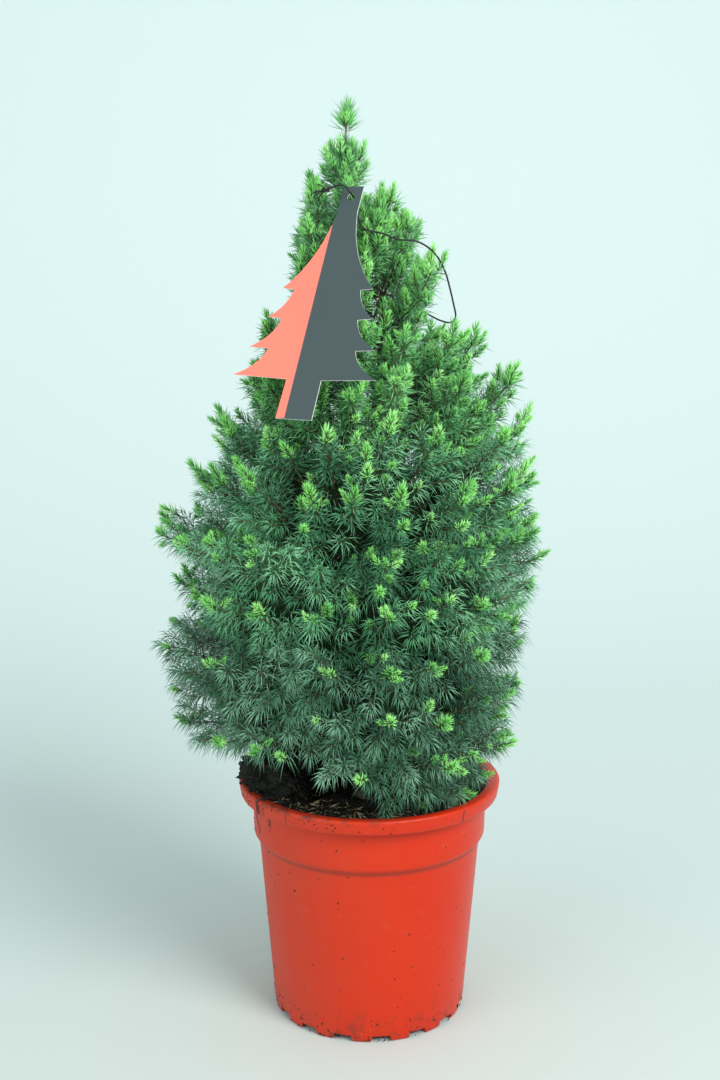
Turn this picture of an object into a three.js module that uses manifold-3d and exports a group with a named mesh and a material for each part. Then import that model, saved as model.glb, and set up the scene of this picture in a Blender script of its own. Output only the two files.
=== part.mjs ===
// Potted dwarf Alberta spruce with its hang tag. Millimetres, +Z up.
// The origin is the centre of the pot's flat underside; -Y is the front.
import * as THREE from 'three';
import { mergeVertices } from 'three/addons/utils/BufferGeometryUtils.js';
import Module from 'manifold-3d';

const wasm = await Module();
wasm.setup();

const GAP = 0.3;                       // clearance kept between neighbouring solids
const RAD = Math.PI / 180;

// Pot: radius and height along the outside, then back down the inside
const POT_OUTSIDE = [[0, 0], [75, 0], [76.6, 1.6], [88, 140], [92, 145.5], [92.9, 176.5],
  [102.1, 176.9], [103.9, 187.1], [102.6, 188.7], [95.2, 188.3]];
const POT_INSIDE = [[91.3, 183], [90.2, 146.4], [86.1, 140.8], [75, 3], [0, 3]];
const POT_SIDES = 44;
const NOTCHES = 16;                    // drainage notches round the foot
const NOTCH = { width: 15, depth: 14, height: 5, inner: 67 };

// Soil: profile up the wall, level spot round the trunk, mound at the left and back
const SOIL_WALL = [[0, 3.3], [74.6, 3.3], [85.7, 141], [89.8, 146.6], [90.6, 168]];
const SOIL_RINGS = [90.6, 76, 58, 38, 20];
const SOIL_LEVEL = 172;
const SOIL_MOUND = { az: 182, spread: 28, rise: 21, from: 42, to: 84 };
const SOIL_SIDES = 22;

// Trunk: height and radius from the soil up, with the root flare
const GROUND = SOIL_LEVEL + GAP;
const TRUNK = [[GROUND, 14], [177, 11.4], [186, 9.6], [215, 8.8], [300, 7.6], [400, 6],
  [500, 4.4], [590, 3], [640, 2.2]];
const TRUNK_SIDES = 9;
const TOP = 712;                       // tip of the leader
const LEAN = 19;                       // how far the tip stands to the left of the foot

// Outline of the foliage: height and mean radius about the trunk
const OUTLINE = [[172, 70], [192, 104], [215, 122], [240, 132], [275, 141], [330, 142], [398, 145],
  [420, 131], [453, 124], [490, 112], [526, 94], [553, 76], [590, 59], [625, 46], [650, 30], [680, 18],
  [712, 6]];
// Height, and the share by which the left side reaches further than the mean there
const FULLER = [[215, 0.09], [300, 0.09], [345, 0], [400, -0.02], [450, -0.18], [540, -0.15], [600, -0.26],
  [645, 0]];
const SKIRT = { inside: 85, overSoil: 2.5, overRim: 190.5 };   // lowest sprays hang inside the rim

// Surfaces that part the tiers of foliage: height at the outline, and rise per unit of radius
const PARTING = [[178, 0.05], [250, 0.35], [330, 0.5], [405, 0.65], [480, 0.85], [548, 1.1], [655, 1.2]];
const CELL_GAP = 0.5;                  // each mass keeps this far inside its own space
// Tiers: azimuth of each mass, half its angle, core centre and half depth, shoots by row, lift
const TIERS = [
  { az: [277, 331, 25, 79, 133], half: 27, core: [0.60, 0.25], rows: [3, 4], lift: -0.2 },
  { az: [214, 286, 358, 70, 142], half: 36, core: [0.60, 0.25], rows: [4, 4], lift: -0.1 },
  { az: [232, 304, 16, 88, 160], half: 36, core: [0.60, 0.25], rows: [4, 4], lift: 0.05 },
  { az: [180, 270, 0, 90], half: 45, core: [0.58, 0.25], rows: [5, 4], lift: 0.16 },
  { az: [250, 10, 130], half: 60, core: [0.52, 0.26], rows: [5, 5], lift: 0.2 },
  { az: [180, 300, 60], half: 60, core: [0.44, 0.22], rows: [2, 3, 2], lift: 0.25 },
];
const DROOP = { tier: 1, az: 214, low: [219, 0.14] };          // this mass fills the gap below it

// Shoots: ring stations along the twig and their girth, size of the needle teeth
const SHOOT_RINGS = [[0, 0.6], [0.5, 0.8], [0.86, 1]];
const SHOOT_GIRTH = 6.4;
const TOOTH = 16;
const TOOTH_LEAN = 0.6;

// Hang tag: where its top edge hangs, its tilt, and half of its fir-tree outline, from the top down.
// The edge sweeps out in a hollow curve to each of the tips.
const TAG = { top: [-13.8, -31.9, 643.3], az: 243.5, slope: 29, roll: 1.2, thickness: 0.8 };
const TAG_OUTLINE = [[8, 0], [8, -22], [35.5, -83.5], [26, -84.5], [41, -107], [29.5, -108],
  [49, -131.5], [34, -132], [55.5, -154], [13.5, -155], [14, -185]];
const TAG_TIPS = [2, 4, 6, 8];         // places of the tips in that outline
const TAG_SWEEP = { out: 0.17, down: 0.62, steps: 3 };   // each curve's control point, and its chords
const TAG_HOLE = { y: -8.5, radius: 3 };
const LOOP_RADIUS = 0.7;
const TAG_KEEP_OUT = 3;                // no spray comes nearer than this to the tag's back
const LOOP_KEEP_OUT = 6;               // no spray comes nearer than this to the elastic

const lerp = (a, b, t) => a + (b - a) * t;

function seeded(seed) {
  let s = seed >>> 0;
  return () => {
    s = (s + 0x6D2B79F5) >>> 0;
    let t = Math.imul(s ^ (s >>> 15), 1 | s);
    t = (t + Math.imul(t ^ (t >>> 7), 61 | t)) ^ t;
    return ((t ^ (t >>> 14)) >>> 0) / 4294967296;
  };
}

function table(rows, z) {
  if (z <= rows[0][0]) return rows[0][1];
  for (let i = 1; i < rows.length; i++) {
    const [z1, v1] = rows[i], [z0, v0] = rows[i - 1];
    if (z <= z1) return lerp(v0, v1, (z - z0) / (z1 - z0));
  }
  return rows[rows.length - 1][1];
}

const trunkX = (z) => -LEAN * (1 - (1 - (z - 170) / (TOP - 170)) ** 3);

function reach(z, az) {
  return table(OUTLINE, z) * (1 - table(FULLER, z) * Math.cos(az * RAD));
}

// ---- meshes and solids -------------------------------------------------------------------

function meshGeometry(points, faces) {
  const geometry = new THREE.BufferGeometry();
  geometry.setAttribute('position', new THREE.Float32BufferAttribute(points.flat(), 3));
  geometry.setIndex(faces.flat());
  return geometry;
}

function toSolid(source) {
  const bare = source.clone();
  bare.deleteAttribute('normal');
  bare.deleteAttribute('uv');
  const merged = mergeVertices(bare, 1e-4);
  const index = merged.index.array, kept = [];
  for (let i = 0; i < index.length; i += 3) {
    const [a, b, c] = [index[i], index[i + 1], index[i + 2]];
    if (a !== b && b !== c && c !== a) kept.push(a, b, c);
  }
  return new wasm.Manifold(new wasm.Mesh({
    numProp: 3,
    vertProperties: new Float32Array(merged.attributes.position.array),
    triVerts: new Uint32Array(kept),
  }));
}

function toGeometry(solid) {
  const mesh = solid.getMesh();
  const geometry = new THREE.BufferGeometry();
  geometry.setAttribute('position', new THREE.BufferAttribute(mesh.vertProperties, 3));
  geometry.setIndex(new THREE.BufferAttribute(mesh.triVerts, 1));
  geometry.computeVertexNormals();
  return geometry;
}

// A round limb through the given stations, each a centre and a radius, with flat ends. Its rings
// stand square to the line from station to station, or all to the one direction given.
function limb(stations, sides, square) {
  const points = [], faces = [], n = stations.length;
  const frames = stations.map((s, i) => {
    const a = stations[Math.max(i - 1, 0)].at, b = stations[Math.min(i + 1, n - 1)].at;
    return acrossFrame(square ?? b.clone().sub(a).normalize());
  });
  stations.forEach(({ at, radius }, i) => {
    const [p, q] = frames[i];
    for (let j = 0; j < sides; j++) {
      const turn = 2 * Math.PI * j / sides;
      points.push(at.clone().addScaledVector(p, radius * Math.cos(turn))
        .addScaledVector(q, radius * Math.sin(turn)).toArray());
    }
  });
  for (let i = 0; i + 1 < n; i++) {
    for (let j = 0; j < sides; j++) {
      const a = i * sides + j, b = i * sides + (j + 1) % sides;
      faces.push([a, b, b + sides], [a, b + sides, a + sides]);
    }
  }
  for (let j = 1; j + 1 < sides; j++) {
    const last = (n - 1) * sides;
    faces.push([0, j + 1, j], [last, last + j, last + j + 1]);
  }
  return meshGeometry(points, faces);
}

// Two unit vectors across a direction, so that p x q runs along it
function acrossFrame(direction) {
  const hint = Math.abs(direction.x) < 0.8 ? new THREE.Vector3(1, 0, 0) : new THREE.Vector3(0, 1, 0);
  const q = direction.clone().cross(hint).normalize();
  return [q.clone().cross(direction), q];
}

// ---- pot, soil, trunk --------------------------------------------------------------------

function pot() {
  const profile = [...POT_OUTSIDE, ...POT_INSIDE].map(([r, z]) => new THREE.Vector2(r, z));
  let solid = toSolid(new THREE.LatheGeometry(profile, POT_SIDES).rotateX(Math.PI / 2));
  for (let i = 0; i < NOTCHES; i++) {
    const cut = new THREE.BoxGeometry(NOTCH.depth, NOTCH.width, NOTCH.height * 2)
      .translate(NOTCH.inner + NOTCH.depth / 2, 0, 0)
      .rotateZ((i + 0.22) * 2 * Math.PI / NOTCHES);
    solid = solid.subtract(toSolid(cut));
  }
  return toGeometry(solid);
}

function soilTop(x, y) {
  const r = Math.hypot(x, y), az = Math.atan2(y, x) / RAD;
  const turn = ((az - SOIL_MOUND.az + 540) % 360) - 180;
  const out = THREE.MathUtils.smoothstep(r, SOIL_MOUND.from, SOIL_MOUND.to);
  const mound = SOIL_MOUND.rise * Math.exp(-((turn / SOIL_MOUND.spread) ** 2)) * out;
  const lumps = 1.6 * Math.sin(x * 0.11 + 1) * Math.cos(y * 0.13 - 2) + 1.2 * Math.sin(x * 0.05 + y * 0.21);
  return SOIL_LEVEL + (r > 21 ? 2 + lumps : 0) + mound;
}

function soil() {
  const points = [[0, 0, SOIL_WALL[0][1]], [0, 0, SOIL_LEVEL]], faces = [], n = SOIL_SIDES;
  const rings = [...SOIL_WALL.slice(1), ...SOIL_RINGS.map((r) => [r, null])];
  for (const [r, z] of rings) {
    for (let j = 0; j < n; j++) {
      const x = r * Math.cos(2 * Math.PI * j / n), y = r * Math.sin(2 * Math.PI * j / n);
      points.push([x, y, z ?? soilTop(x, y)]);
    }
  }
  const at = (ring, j) => 2 + ring * n + (j % n);
  for (let j = 0; j < n; j++) {
    faces.push([0, at(0, j + 1), at(0, j)], [1, at(rings.length - 1, j), at(rings.length - 1, j + 1)]);
    for (let k = 0; k + 1 < rings.length; k++) {
      faces.push([at(k, j), at(k, j + 1), at(k + 1, j + 1)], [at(k, j), at(k + 1, j + 1), at(k + 1, j)]);
    }
  }
  return meshGeometry(points, faces);
}

function trunk(extra = 0) {
  const stations = TRUNK.map(([z, radius]) => ({
    at: new THREE.Vector3(trunkX(z), 0, z), radius: radius + extra }));
  return limb(stations, TRUNK_SIDES, new THREE.Vector3(0, 0, 1));
}

// ---- hang tag and its elastic loop -------------------------------------------------------

function tagFrame() {
  const phi = TAG.az * RAD, slope = TAG.slope * RAD, roll = TAG.roll * RAD;
  const out = new THREE.Vector3(Math.cos(phi) * Math.cos(slope), Math.sin(phi) * Math.cos(slope),
    Math.sin(slope));
  const rise = new THREE.Vector3(-Math.cos(phi) * Math.sin(slope), -Math.sin(phi) * Math.sin(slope),
    Math.cos(slope));
  const across = rise.clone().cross(out);
  const right = across.clone().multiplyScalar(Math.cos(roll)).addScaledVector(rise, -Math.sin(roll));
  const up = rise.clone().multiplyScalar(Math.cos(roll)).addScaledVector(across, Math.sin(roll));
  return { right, up, out, top: new THREE.Vector3(...TAG.top) };
}

const tagAxes = tagFrame();

// Position in the tag's own frame: along its width, its height and off its face
function inTag(point) {
  const d = point.clone().sub(tagAxes.top);
  return [d.dot(tagAxes.right), d.dot(tagAxes.up), d.dot(tagAxes.out)];
}

function tagPoint(x, y, off) {
  return tagAxes.top.clone().addScaledVector(tagAxes.right, x)
    .addScaledVector(tagAxes.up, y).addScaledVector(tagAxes.out, off);
}

// Half of the tag's outline, with the curve that leads to each tip
function tagSide() {
  const corners = TAG_OUTLINE.map(([x, y]) => new THREE.Vector2(x, y));
  return corners.flatMap((tip, i) => {
    if (!TAG_TIPS.includes(i)) return [tip];
    const from = corners[i - 1];
    const control = new THREE.Vector2(lerp(from.x, tip.x, TAG_SWEEP.out), lerp(from.y, tip.y, TAG_SWEEP.down));
    return new THREE.QuadraticBezierCurve(from, control, tip).getPoints(TAG_SWEEP.steps).slice(1);
  });
}

function hangTag(seat) {
  const half = tagSide();
  const mirrored = [...half].reverse().map((p) => new THREE.Vector2(-p.x, p.y));
  const shape = new THREE.Shape([...half, ...mirrored]);
  shape.holes.push(new THREE.Path().absarc(0, TAG_HOLE.y, TAG_HOLE.radius, 0, 2 * Math.PI, false));
  const plate = new THREE.ExtrudeGeometry(shape, { depth: TAG.thickness, bevelEnabled: false,
    curveSegments: 6 });
  const basis = new THREE.Matrix4().makeBasis(tagAxes.right, tagAxes.up, tagAxes.out);
  return plate.applyMatrix4(basis.setPosition(tagPoint(0, 0, -seat)));
}

// The elastic: out behind the tag, over the right side, round the back of the crown and over the
// left to its knot, then down through the tag's hole
const loopCurve = (seat) => new THREE.CatmullRomCurve3([
  tagPoint(-0.4, TAG_HOLE.y + 1.8, 4.6 - seat), tagPoint(0, TAG_HOLE.y + 1.6, 0.4 - seat),
  tagPoint(0.3, TAG_HOLE.y + 1.4, -4 - seat),
  new THREE.Vector3(-7, -46, 612), new THREE.Vector3(8, -53, 607), new THREE.Vector3(18, -56, 603),
  new THREE.Vector3(30, -56, 602), new THREE.Vector3(39, -53, 598), new THREE.Vector3(47, -47, 591),
  new THREE.Vector3(53, -41, 581), new THREE.Vector3(57, -32, 571), new THREE.Vector3(61, -22, 559),
  new THREE.Vector3(64, -10, 549), new THREE.Vector3(62, 4, 545), new THREE.Vector3(56, 22, 546),
  new THREE.Vector3(37, 49, 556), new THREE.Vector3(2, 62, 568), new THREE.Vector3(-27, 53, 586),
  new THREE.Vector3(-43, 34, 606), new THREE.Vector3(-46, 12, 627), new THREE.Vector3(-43, -14, 638),
  new THREE.Vector3(-33, -32, 639), tagPoint(-7, -2, 6 - seat),
], true, 'centripetal');
const loopTrail = loopCurve(0).getPoints(160);

const tagLoop = (seat) => new THREE.TubeGeometry(loopCurve(seat), 60, LOOP_RADIUS, 5, true);

// Whether a point lies over or under the tag, as seen square to its face
const facesTag = (x, y) => y > -190 && y < 4 && Math.abs(x) < 14 - 0.3 * Math.min(y, 0);

// True where a needle spray would foul the tag or its elastic
function foulsTag(point) {
  const [x, y, off] = inTag(point);
  const blocked = off > -TAG_KEEP_OUT && off < 6 && facesTag(x, y);
  return blocked || loopTrail.some((p) => p.distanceTo(point) < LOOP_KEEP_OUT);
}

// How far the tag settles back until it rests on the nearest spray behind it
function tagSeat(geometries) {
  let nearest = Infinity;
  for (const { attributes: { position } } of geometries) {
    for (let i = 0; i < position.count; i++) {
      const [x, y, off] = inTag(new THREE.Vector3().fromBufferAttribute(position, i));
      if (facesTag(x, y) && off < 0) nearest = Math.min(nearest, -off);
    }
  }
  return nearest - GAP;
}

// ---- the spaces that the masses of foliage keep to ---------------------------------------

function cellPoint(m, u, v, w) {
  const k = (w + 1) / 2, hs = lerp(m.low[0], m.high[0], k), rise = lerp(m.low[1], m.high[1], k);
  const az = m.az + u * m.half, whole = reach(hs, az), z = hs - rise * whole * (1 - v);
  return new THREE.Vector3(trunkX(z) + v * whole * Math.cos(az * RAD), v * whole * Math.sin(az * RAD), z);
}

const partingHeight = ([z, rise], r, az) => z - rise * (reach(z, az) - r);

function floorUnder(point) {
  const inside = Math.hypot(point.x, point.y) < SKIRT.inside;
  return inside ? soilTop(point.x, point.y) + SKIRT.overSoil : SKIRT.overRim;
}

function inCell(m, point) {
  const dx = point.x - trunkX(point.z), r = Math.hypot(dx, point.y);
  const az = Math.atan2(point.y, dx) / RAD;
  const off = Math.abs(((az - m.az + 900) % 360) - 180);
  return off < m.half && r * Math.sin(Math.min(m.half - off, 90) * RAD) > CELL_GAP
    && point.z > Math.max(partingHeight(m.low, r, az) + CELL_GAP, floorUnder(point))
    && point.z < partingHeight(m.high, r, az) - CELL_GAP
    && r < reach(point.z, az) * 1.07 + 3 && !foulsTag(point);
}

// ---- boughs, shoots and masses -----------------------------------------------------------

const BOUGH_BASE = -0.1;               // height of a bough's foot within its mass's space

function boughLine(m) {
  const end = m.core[0] - m.core[1] - 0.04;
  const from = cellPoint(m, 0, 0.01, BOUGH_BASE), to = cellPoint(m, 0, end, BOUGH_BASE);
  const radius = 0.42 * table(TRUNK, from.z) + 0.6;
  return { from, to, radius, dir: to.clone().sub(from).normalize() };
}

function bough(m) {
  const { from, to, radius } = boughLine(m);
  const whole = toSolid(limb([{ at: from, radius }, { at: to, radius: radius * 0.72 }], 6));
  return toGeometry(whole.subtract(toSolid(trunk(GAP))));
}

// A needled shoot: a three-sided twig whose faces are drawn out into teeth that lean forward
function shoot(from, to, turn, scale, keeps) {
  const dir = to.clone().sub(from), length = dir.length();
  dir.normalize();
  const [p, q] = acrossFrame(dir), points = [], faces = [];
  SHOOT_RINGS.forEach(([t, girth], k) => {
    for (let j = 0; j < 3; j++) {
      const angle = turn + 2 * Math.PI * (j + k / 2) / 3, radius = SHOOT_GIRTH * scale * girth;
      points.push(from.clone().addScaledVector(dir, t * length)
        .addScaledVector(p, radius * Math.cos(angle)).addScaledVector(q, radius * Math.sin(angle)));
    }
  });
  const face = (a, b, c, toothed) => {
    const middle = points[a].clone().add(points[b]).add(points[c]).divideScalar(3);
    const along = middle.clone().sub(from).dot(dir);
    const out = middle.clone().sub(from).addScaledVector(dir, -along).normalize();
    const tip = middle.clone().addScaledVector(out, TOOTH * scale * 0.8)
      .addScaledVector(dir, TOOTH * scale * TOOTH_LEAN);
    if (!toothed || !keeps(tip) || !keeps(middle.clone().lerp(tip, 0.6))) return faces.push([a, b, c]);
    points.push(tip);
    const t = points.length - 1;
    return faces.push([a, b, t], [b, c, t], [c, a, t]);
  };
  for (let k = 0; k + 1 < SHOOT_RINGS.length; k++) {
    for (let j = 0; j < 3; j++) {
      const a = 3 * k + j, b = 3 * k + (j + 1) % 3;
      face(a, b, a + 3, k > 0);
      face(b, b + 3, a + 3, k > 0);
    }
  }
  const last = 3 * SHOOT_RINGS.length - 3;
  points.push(to.clone());
  const end = points.length - 1;
  faces.push([0, 2, 1]);
  for (let j = 0; j < 3; j++) face(last + j, last + (j + 1) % 3, end, true);
  return toSolid(meshGeometry(points.map((v) => v.toArray()), faces));
}

// The dense inner part of a mass: a lumpy ball, squared off and bent to the mass's space
const CORE_SQUARENESS = 0.45;
const CORE_FILL = 0.95;
const CORE_DENT = 0.2;
const CORE_LIFT = 2;                   // how far it keeps above the soil and the rim

function core(m, rng) {
  const ball = new THREE.IcosahedronGeometry(1, 1);
  ball.deleteAttribute('normal');
  ball.deleteAttribute('uv');
  const geometry = mergeVertices(ball, 1e-4), place = geometry.attributes.position;
  const squared = (t) => Math.sign(t) * Math.abs(t) ** CORE_SQUARENESS;
  for (let i = 0; i < place.count; i++) {
    const [v, u, w] = [place.getX(i), place.getY(i), place.getZ(i)].map(squared);
    const dent = 1 - CORE_DENT * rng(), fill = CORE_FILL * (1 - 0.4 * CORE_DENT * rng());
    const point = cellPoint(m, u * fill, m.core[0] + v * m.core[1] * dent, w * fill);
    place.setXYZ(i, point.x, point.y, Math.max(point.z, floorUnder(point) + CORE_LIFT));
  }
  return toSolid(geometry);
}

// Root and tip of every shoot of a mass, by rows up its outer face
function shootPlan(m, rng) {
  const plan = [], rows = m.rows;
  rows.forEach((count, row) => {
    const w = rows.length > 1 ? -0.52 + 1.04 * row / (rows.length - 1) : 0;
    for (let i = 0; i < count; i++) {
      const u = ((i + 0.5) / count * 2 - 1) * 0.94;
      const du = (rng() - 0.5) * 0.22, dw = (rng() - 0.5) * 0.3, far = 0.93 + 0.11 * rng();
      const turn = 2 * Math.PI * rng(), scale = Math.min(1, 0.45 + reach(m.high[0], m.az) / 180);
      const tipW = THREE.MathUtils.clamp(w + dw + m.lift, -0.9, 0.9);
      plan.push({ from: cellPoint(m, u * 0.85, m.core[0], w * 0.8),
        to: cellPoint(m, u + du, far, tipW), turn, scale });
    }
  });
  return plan;
}

function mass(m) {
  const rng = seeded(m.seed), { to, radius, dir } = boughLine(m);
  const keeps = (point) => inCell(m, point);
  const stem = limb([{ at: to.clone().addScaledVector(dir, GAP), radius: radius * 0.72 },
    { at: to.clone().addScaledVector(dir, 16), radius: radius * 0.6 }], 6);
  let solid = core(m, rng).add(toSolid(stem));
  for (const { from, to: tip, turn, scale } of shootPlan(m, rng)) {
    const sag = new THREE.Vector3(0, 0, -SHOOT_GIRTH * scale);
    const clear = [0.5, 0.7, 0.9].every((t) => keeps(from.clone().lerp(tip, t).add(sag)));
    if (clear && keeps(tip)) solid = solid.add(shoot(from, tip, turn, scale, keeps));
  }
  return toGeometry(solid);
}

// The leader: an upright stem on the trunk's tip, ringed by short shoots below its own tip
const LEADER = { seed: 77, foot: TRUNK[TRUNK.length - 1], shoots: 6, lowest: 647, highest: 676 };

function leader() {
  const rng = seeded(LEADER.seed), [footZ, footRadius] = LEADER.foot;
  const at = (z) => new THREE.Vector3(trunkX(z), 0, z);
  const roomy = (point) => {
    const dx = point.x - trunkX(point.z), r = Math.hypot(dx, point.y);
    return !foulsTag(point) && point.z > partingHeight(PARTING[6], r, 0) + CELL_GAP && point.z < TOP + 1
      && r < reach(point.z, 0) * 1.1 + 2;
  };
  let solid = toSolid(limb([{ at: at(footZ + GAP), radius: footRadius },
    { at: at(footZ + 30), radius: footRadius * 0.8 }, { at: at(TOP - 18), radius: 1 }], 6));
  for (let i = 0; i < LEADER.shoots; i++) {
    const z = lerp(LEADER.lowest, LEADER.highest, i / (LEADER.shoots - 1));
    const az = 130 + 137.5 * i, out = reach(z + 14, 0) * (0.8 + 0.25 * rng());
    const tip = new THREE.Vector3(trunkX(z) + out * Math.cos(az * RAD), out * Math.sin(az * RAD), z + 15);
    if (roomy(tip)) solid = solid.add(shoot(at(z - 4), tip, 2 * Math.PI * rng(), 0.5, roomy));
  }
  return toGeometry(solid.add(shoot(at(TOP - 44), at(TOP), 0.4, 0.52, roomy)));
}

// ---- the whole plant ---------------------------------------------------------------------

function masses() {
  return TIERS.flatMap((tier, k) => tier.az.map((az, i) => {
    const droops = k === DROOP.tier && az === DROOP.az;
    return { ...tier, az, low: droops ? DROOP.low : PARTING[k], high: PARTING[k + 1],
      seed: 1000 + 50 * k + i, name: `${k + 1}${'abcde'[i]}` };
  }));
}

function paint(color, roughness) {
  return new THREE.MeshStandardMaterial({ color, roughness, metalness: 0 });
}

const plant = new THREE.Group();

function place(name, geometry, color, roughness) {
  const mesh = new THREE.Mesh(geometry, paint(color, roughness));
  mesh.name = name;
  plant.add(mesh);
}

place('pot', pot(), 0xde462d, 0.35);
place('soil', soil(), 0x232820, 0.95);
place('trunk', trunk(), 0x5d4a37, 0.9);
for (const m of masses()) {
  place(`bough_${m.name}`, bough(m), 0x67513b, 0.9);
  place(`foliage_${m.name}`, mass(m), 0x4b7f5c, 0.8);
}
place('foliage_leader', leader(), 0x58965a, 0.8);
const seat = tagSeat(plant.children.map((mesh) => mesh.geometry));
place('hang_tag', hangTag(seat), 0x6a6f72, 0.5);
place('tag_loop', tagLoop(seat), 0x17181a, 0.6);

export default plant;
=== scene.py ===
"""Looks of a potted dwarf Alberta spruce: needles, twigs, bark, nursery pot, compost and hang tag."""
import math
from types import SimpleNamespace as Sizes

import bmesh
import bpy
import numpy as np
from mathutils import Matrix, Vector, noise
from mathutils.geometry import delaunay_2d_cdt


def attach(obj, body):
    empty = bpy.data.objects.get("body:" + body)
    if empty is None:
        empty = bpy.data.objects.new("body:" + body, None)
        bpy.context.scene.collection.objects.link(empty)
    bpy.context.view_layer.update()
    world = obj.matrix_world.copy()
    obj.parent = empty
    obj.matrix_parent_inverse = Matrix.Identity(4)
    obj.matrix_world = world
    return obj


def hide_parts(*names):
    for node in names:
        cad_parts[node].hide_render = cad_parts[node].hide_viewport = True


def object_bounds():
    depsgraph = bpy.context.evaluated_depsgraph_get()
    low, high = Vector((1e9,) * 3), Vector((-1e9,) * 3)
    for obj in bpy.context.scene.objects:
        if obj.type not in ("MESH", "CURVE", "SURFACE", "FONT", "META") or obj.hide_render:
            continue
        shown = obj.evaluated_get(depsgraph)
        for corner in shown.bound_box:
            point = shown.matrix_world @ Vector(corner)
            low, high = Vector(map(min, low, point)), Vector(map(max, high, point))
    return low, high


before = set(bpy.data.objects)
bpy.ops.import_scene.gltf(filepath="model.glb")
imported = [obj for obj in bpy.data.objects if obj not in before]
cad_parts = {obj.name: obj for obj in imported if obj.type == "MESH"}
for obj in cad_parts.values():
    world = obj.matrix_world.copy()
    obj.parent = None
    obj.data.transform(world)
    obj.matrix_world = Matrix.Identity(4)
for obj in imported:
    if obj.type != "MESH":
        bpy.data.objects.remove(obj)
cad_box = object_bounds()

MM = 0.001
RAD = math.pi / 180
SPIRAL = 137.5                       # degrees from one needle or twig of a spiral to the next
MASK = 0xFFFFFFFF
CAD_LOW, CAD_HIGH = (np.array(corner[:]) / MM for corner in cad_box)

# ---- sizes of the construction, mm and degrees ----

TOP, LEAN, LEAN_FROM = 712, 19, 170  # the tip's height, how far left it stands, and where that begins
# The trunk's radius by height, the foliage's reach by height, and by what share more it reaches at the left
TRUNK = [(172.3, 14), (177, 11.4), (186, 9.6), (215, 8.8), (300, 7.6), (400, 6), (500, 4.4), (590, 3),
         (640, 2.2)]
OUTLINE = [(172, 70), (192, 104), (215, 122), (240, 132), (275, 141), (330, 142), (398, 145), (420, 131),
           (453, 124), (490, 112), (526, 94), (553, 76), (590, 59), (625, 46), (650, 30), (680, 18),
           (TOP, 6)]
FULLER = [(215, 0.09), (300, 0.09), (345, 0), (400, -0.02), (450, -0.18), (540, -0.15), (600, -0.26),
          (645, 0)]
# Where one tier of masses gives way to the next: height at the outline, and slope down to the trunk
PARTING = [(178, 0.05), (250, 0.35), (330, 0.5), (405, 0.65), (480, 0.85), (548, 1.1), (655, 1.2)]
# By tier: its masses' azimuths and half width, the middle and half depth of their cores as shares of the
# reach, the main shoots in each row, and how far these lift
TIERS = [
    dict(az=[277, 331, 25, 79, 133], half=27, core=(0.60, 0.25), rows=[3, 4], lift=-0.2),
    dict(az=[214, 286, 358, 70, 142], half=36, core=(0.60, 0.25), rows=[4, 4], lift=-0.1),
    dict(az=[232, 304, 16, 88, 160], half=36, core=(0.60, 0.25), rows=[4, 4], lift=0.05),
    dict(az=[180, 270, 0, 90], half=45, core=(0.58, 0.25), rows=[5, 4], lift=0.16),
    dict(az=[250, 10, 130], half=60, core=(0.52, 0.26), rows=[5, 5], lift=0.2),
    dict(az=[180, 300, 60], half=60, core=(0.44, 0.22), rows=[2, 3, 2], lift=0.25),
]
LETTERS = "abcde"                    # the masses of a tier, in names
DROOP = Sizes(tier=1, az=214, low=(219, 0.14))     # this mass fills the space below it
CORE_DRAWS = 84                      # the draws that the construction spends on a mass's core
# Main shoots: how wide and high a mass's face they cover, their feet as shares of that, how far their tips
# stray to the side and upright, their least reach as a share of the mass's and what chance adds to it, and
# how near the face's upper and lower edge their tips may come
SHOOT_NET = Sizes(wide=0.94, high=0.52, foot=(0.85, 0.8), stray=(0.22, 0.3), reach=(0.93, 0.11), edge=0.9)
BOUGH_BASE = -0.1                    # height of a bough's foot within its mass's space
SOIL_LEVEL = 172
SOIL_MOUND = Sizes(az=182, spread=28, rise=21, start=42, end=84)
RIM_TOP, RIM_INSIDE = 190.5, 85
TAG = Sizes(top=(-13.8, -31.9, 643.3), az=243.5, slope=29, roll=1.2, thickness=0.8)
TAG_OUTLINE = [(8, 0), (8, -22), (35.5, -83.5), (26, -84.5), (41, -107), (29.5, -108), (49, -131.5),
               (34, -132), (55.5, -154), (13.5, -155), (14, -185)]
TAG_TIPS = (2, 4, 6, 8)              # places of the tips in that outline
TAG_SWEEP = Sizes(out=0.17, down=0.62, steps=9)
TAG_HOLE = Sizes(y=-8.5, radius=3)
TAG_ROOM = Sizes(aside=1, behind=0.6)              # no needle comes nearer to the tag than this


def seeded(seed):
    """The construction's own random draws."""
    state = [seed & MASK]

    def draw():
        s = state[0] = (state[0] + 0x6D2B79F5) & MASK
        t = ((s ^ (s >> 15)) * (1 | s)) & MASK
        t = ((t + (((t ^ (t >> 7)) * (61 | t)) & MASK)) & MASK) ^ t
        return ((t ^ (t >> 14)) & MASK) / (MASK + 1)
    return draw


def smooth(x, a, b):
    """A smooth step from 0 at a to 1 at b."""
    t = np.clip((np.asarray(x, float) - a) / (b - a), 0, 1)
    return t * t * (3 - 2 * t)


def unit(v):
    return v / np.maximum(np.linalg.norm(v, axis=-1, keepdims=True), 1e-9)


def polar(r, angle):
    return r * np.cos(angle), r * np.sin(angle)


def length(v):
    return np.linalg.norm(v, axis=-1)


def table(rows, at):
    """A value read between rows of (place, value)."""
    return np.interp(at, [r[0] for r in rows], [r[1] for r in rows])


def trunk_x(z):
    """The trunk's axis leans left, less and less towards the tip."""
    return -LEAN * (1 - (1 - (np.asarray(z, float) - LEAN_FROM) / (TOP - LEAN_FROM)) ** 3)


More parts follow.
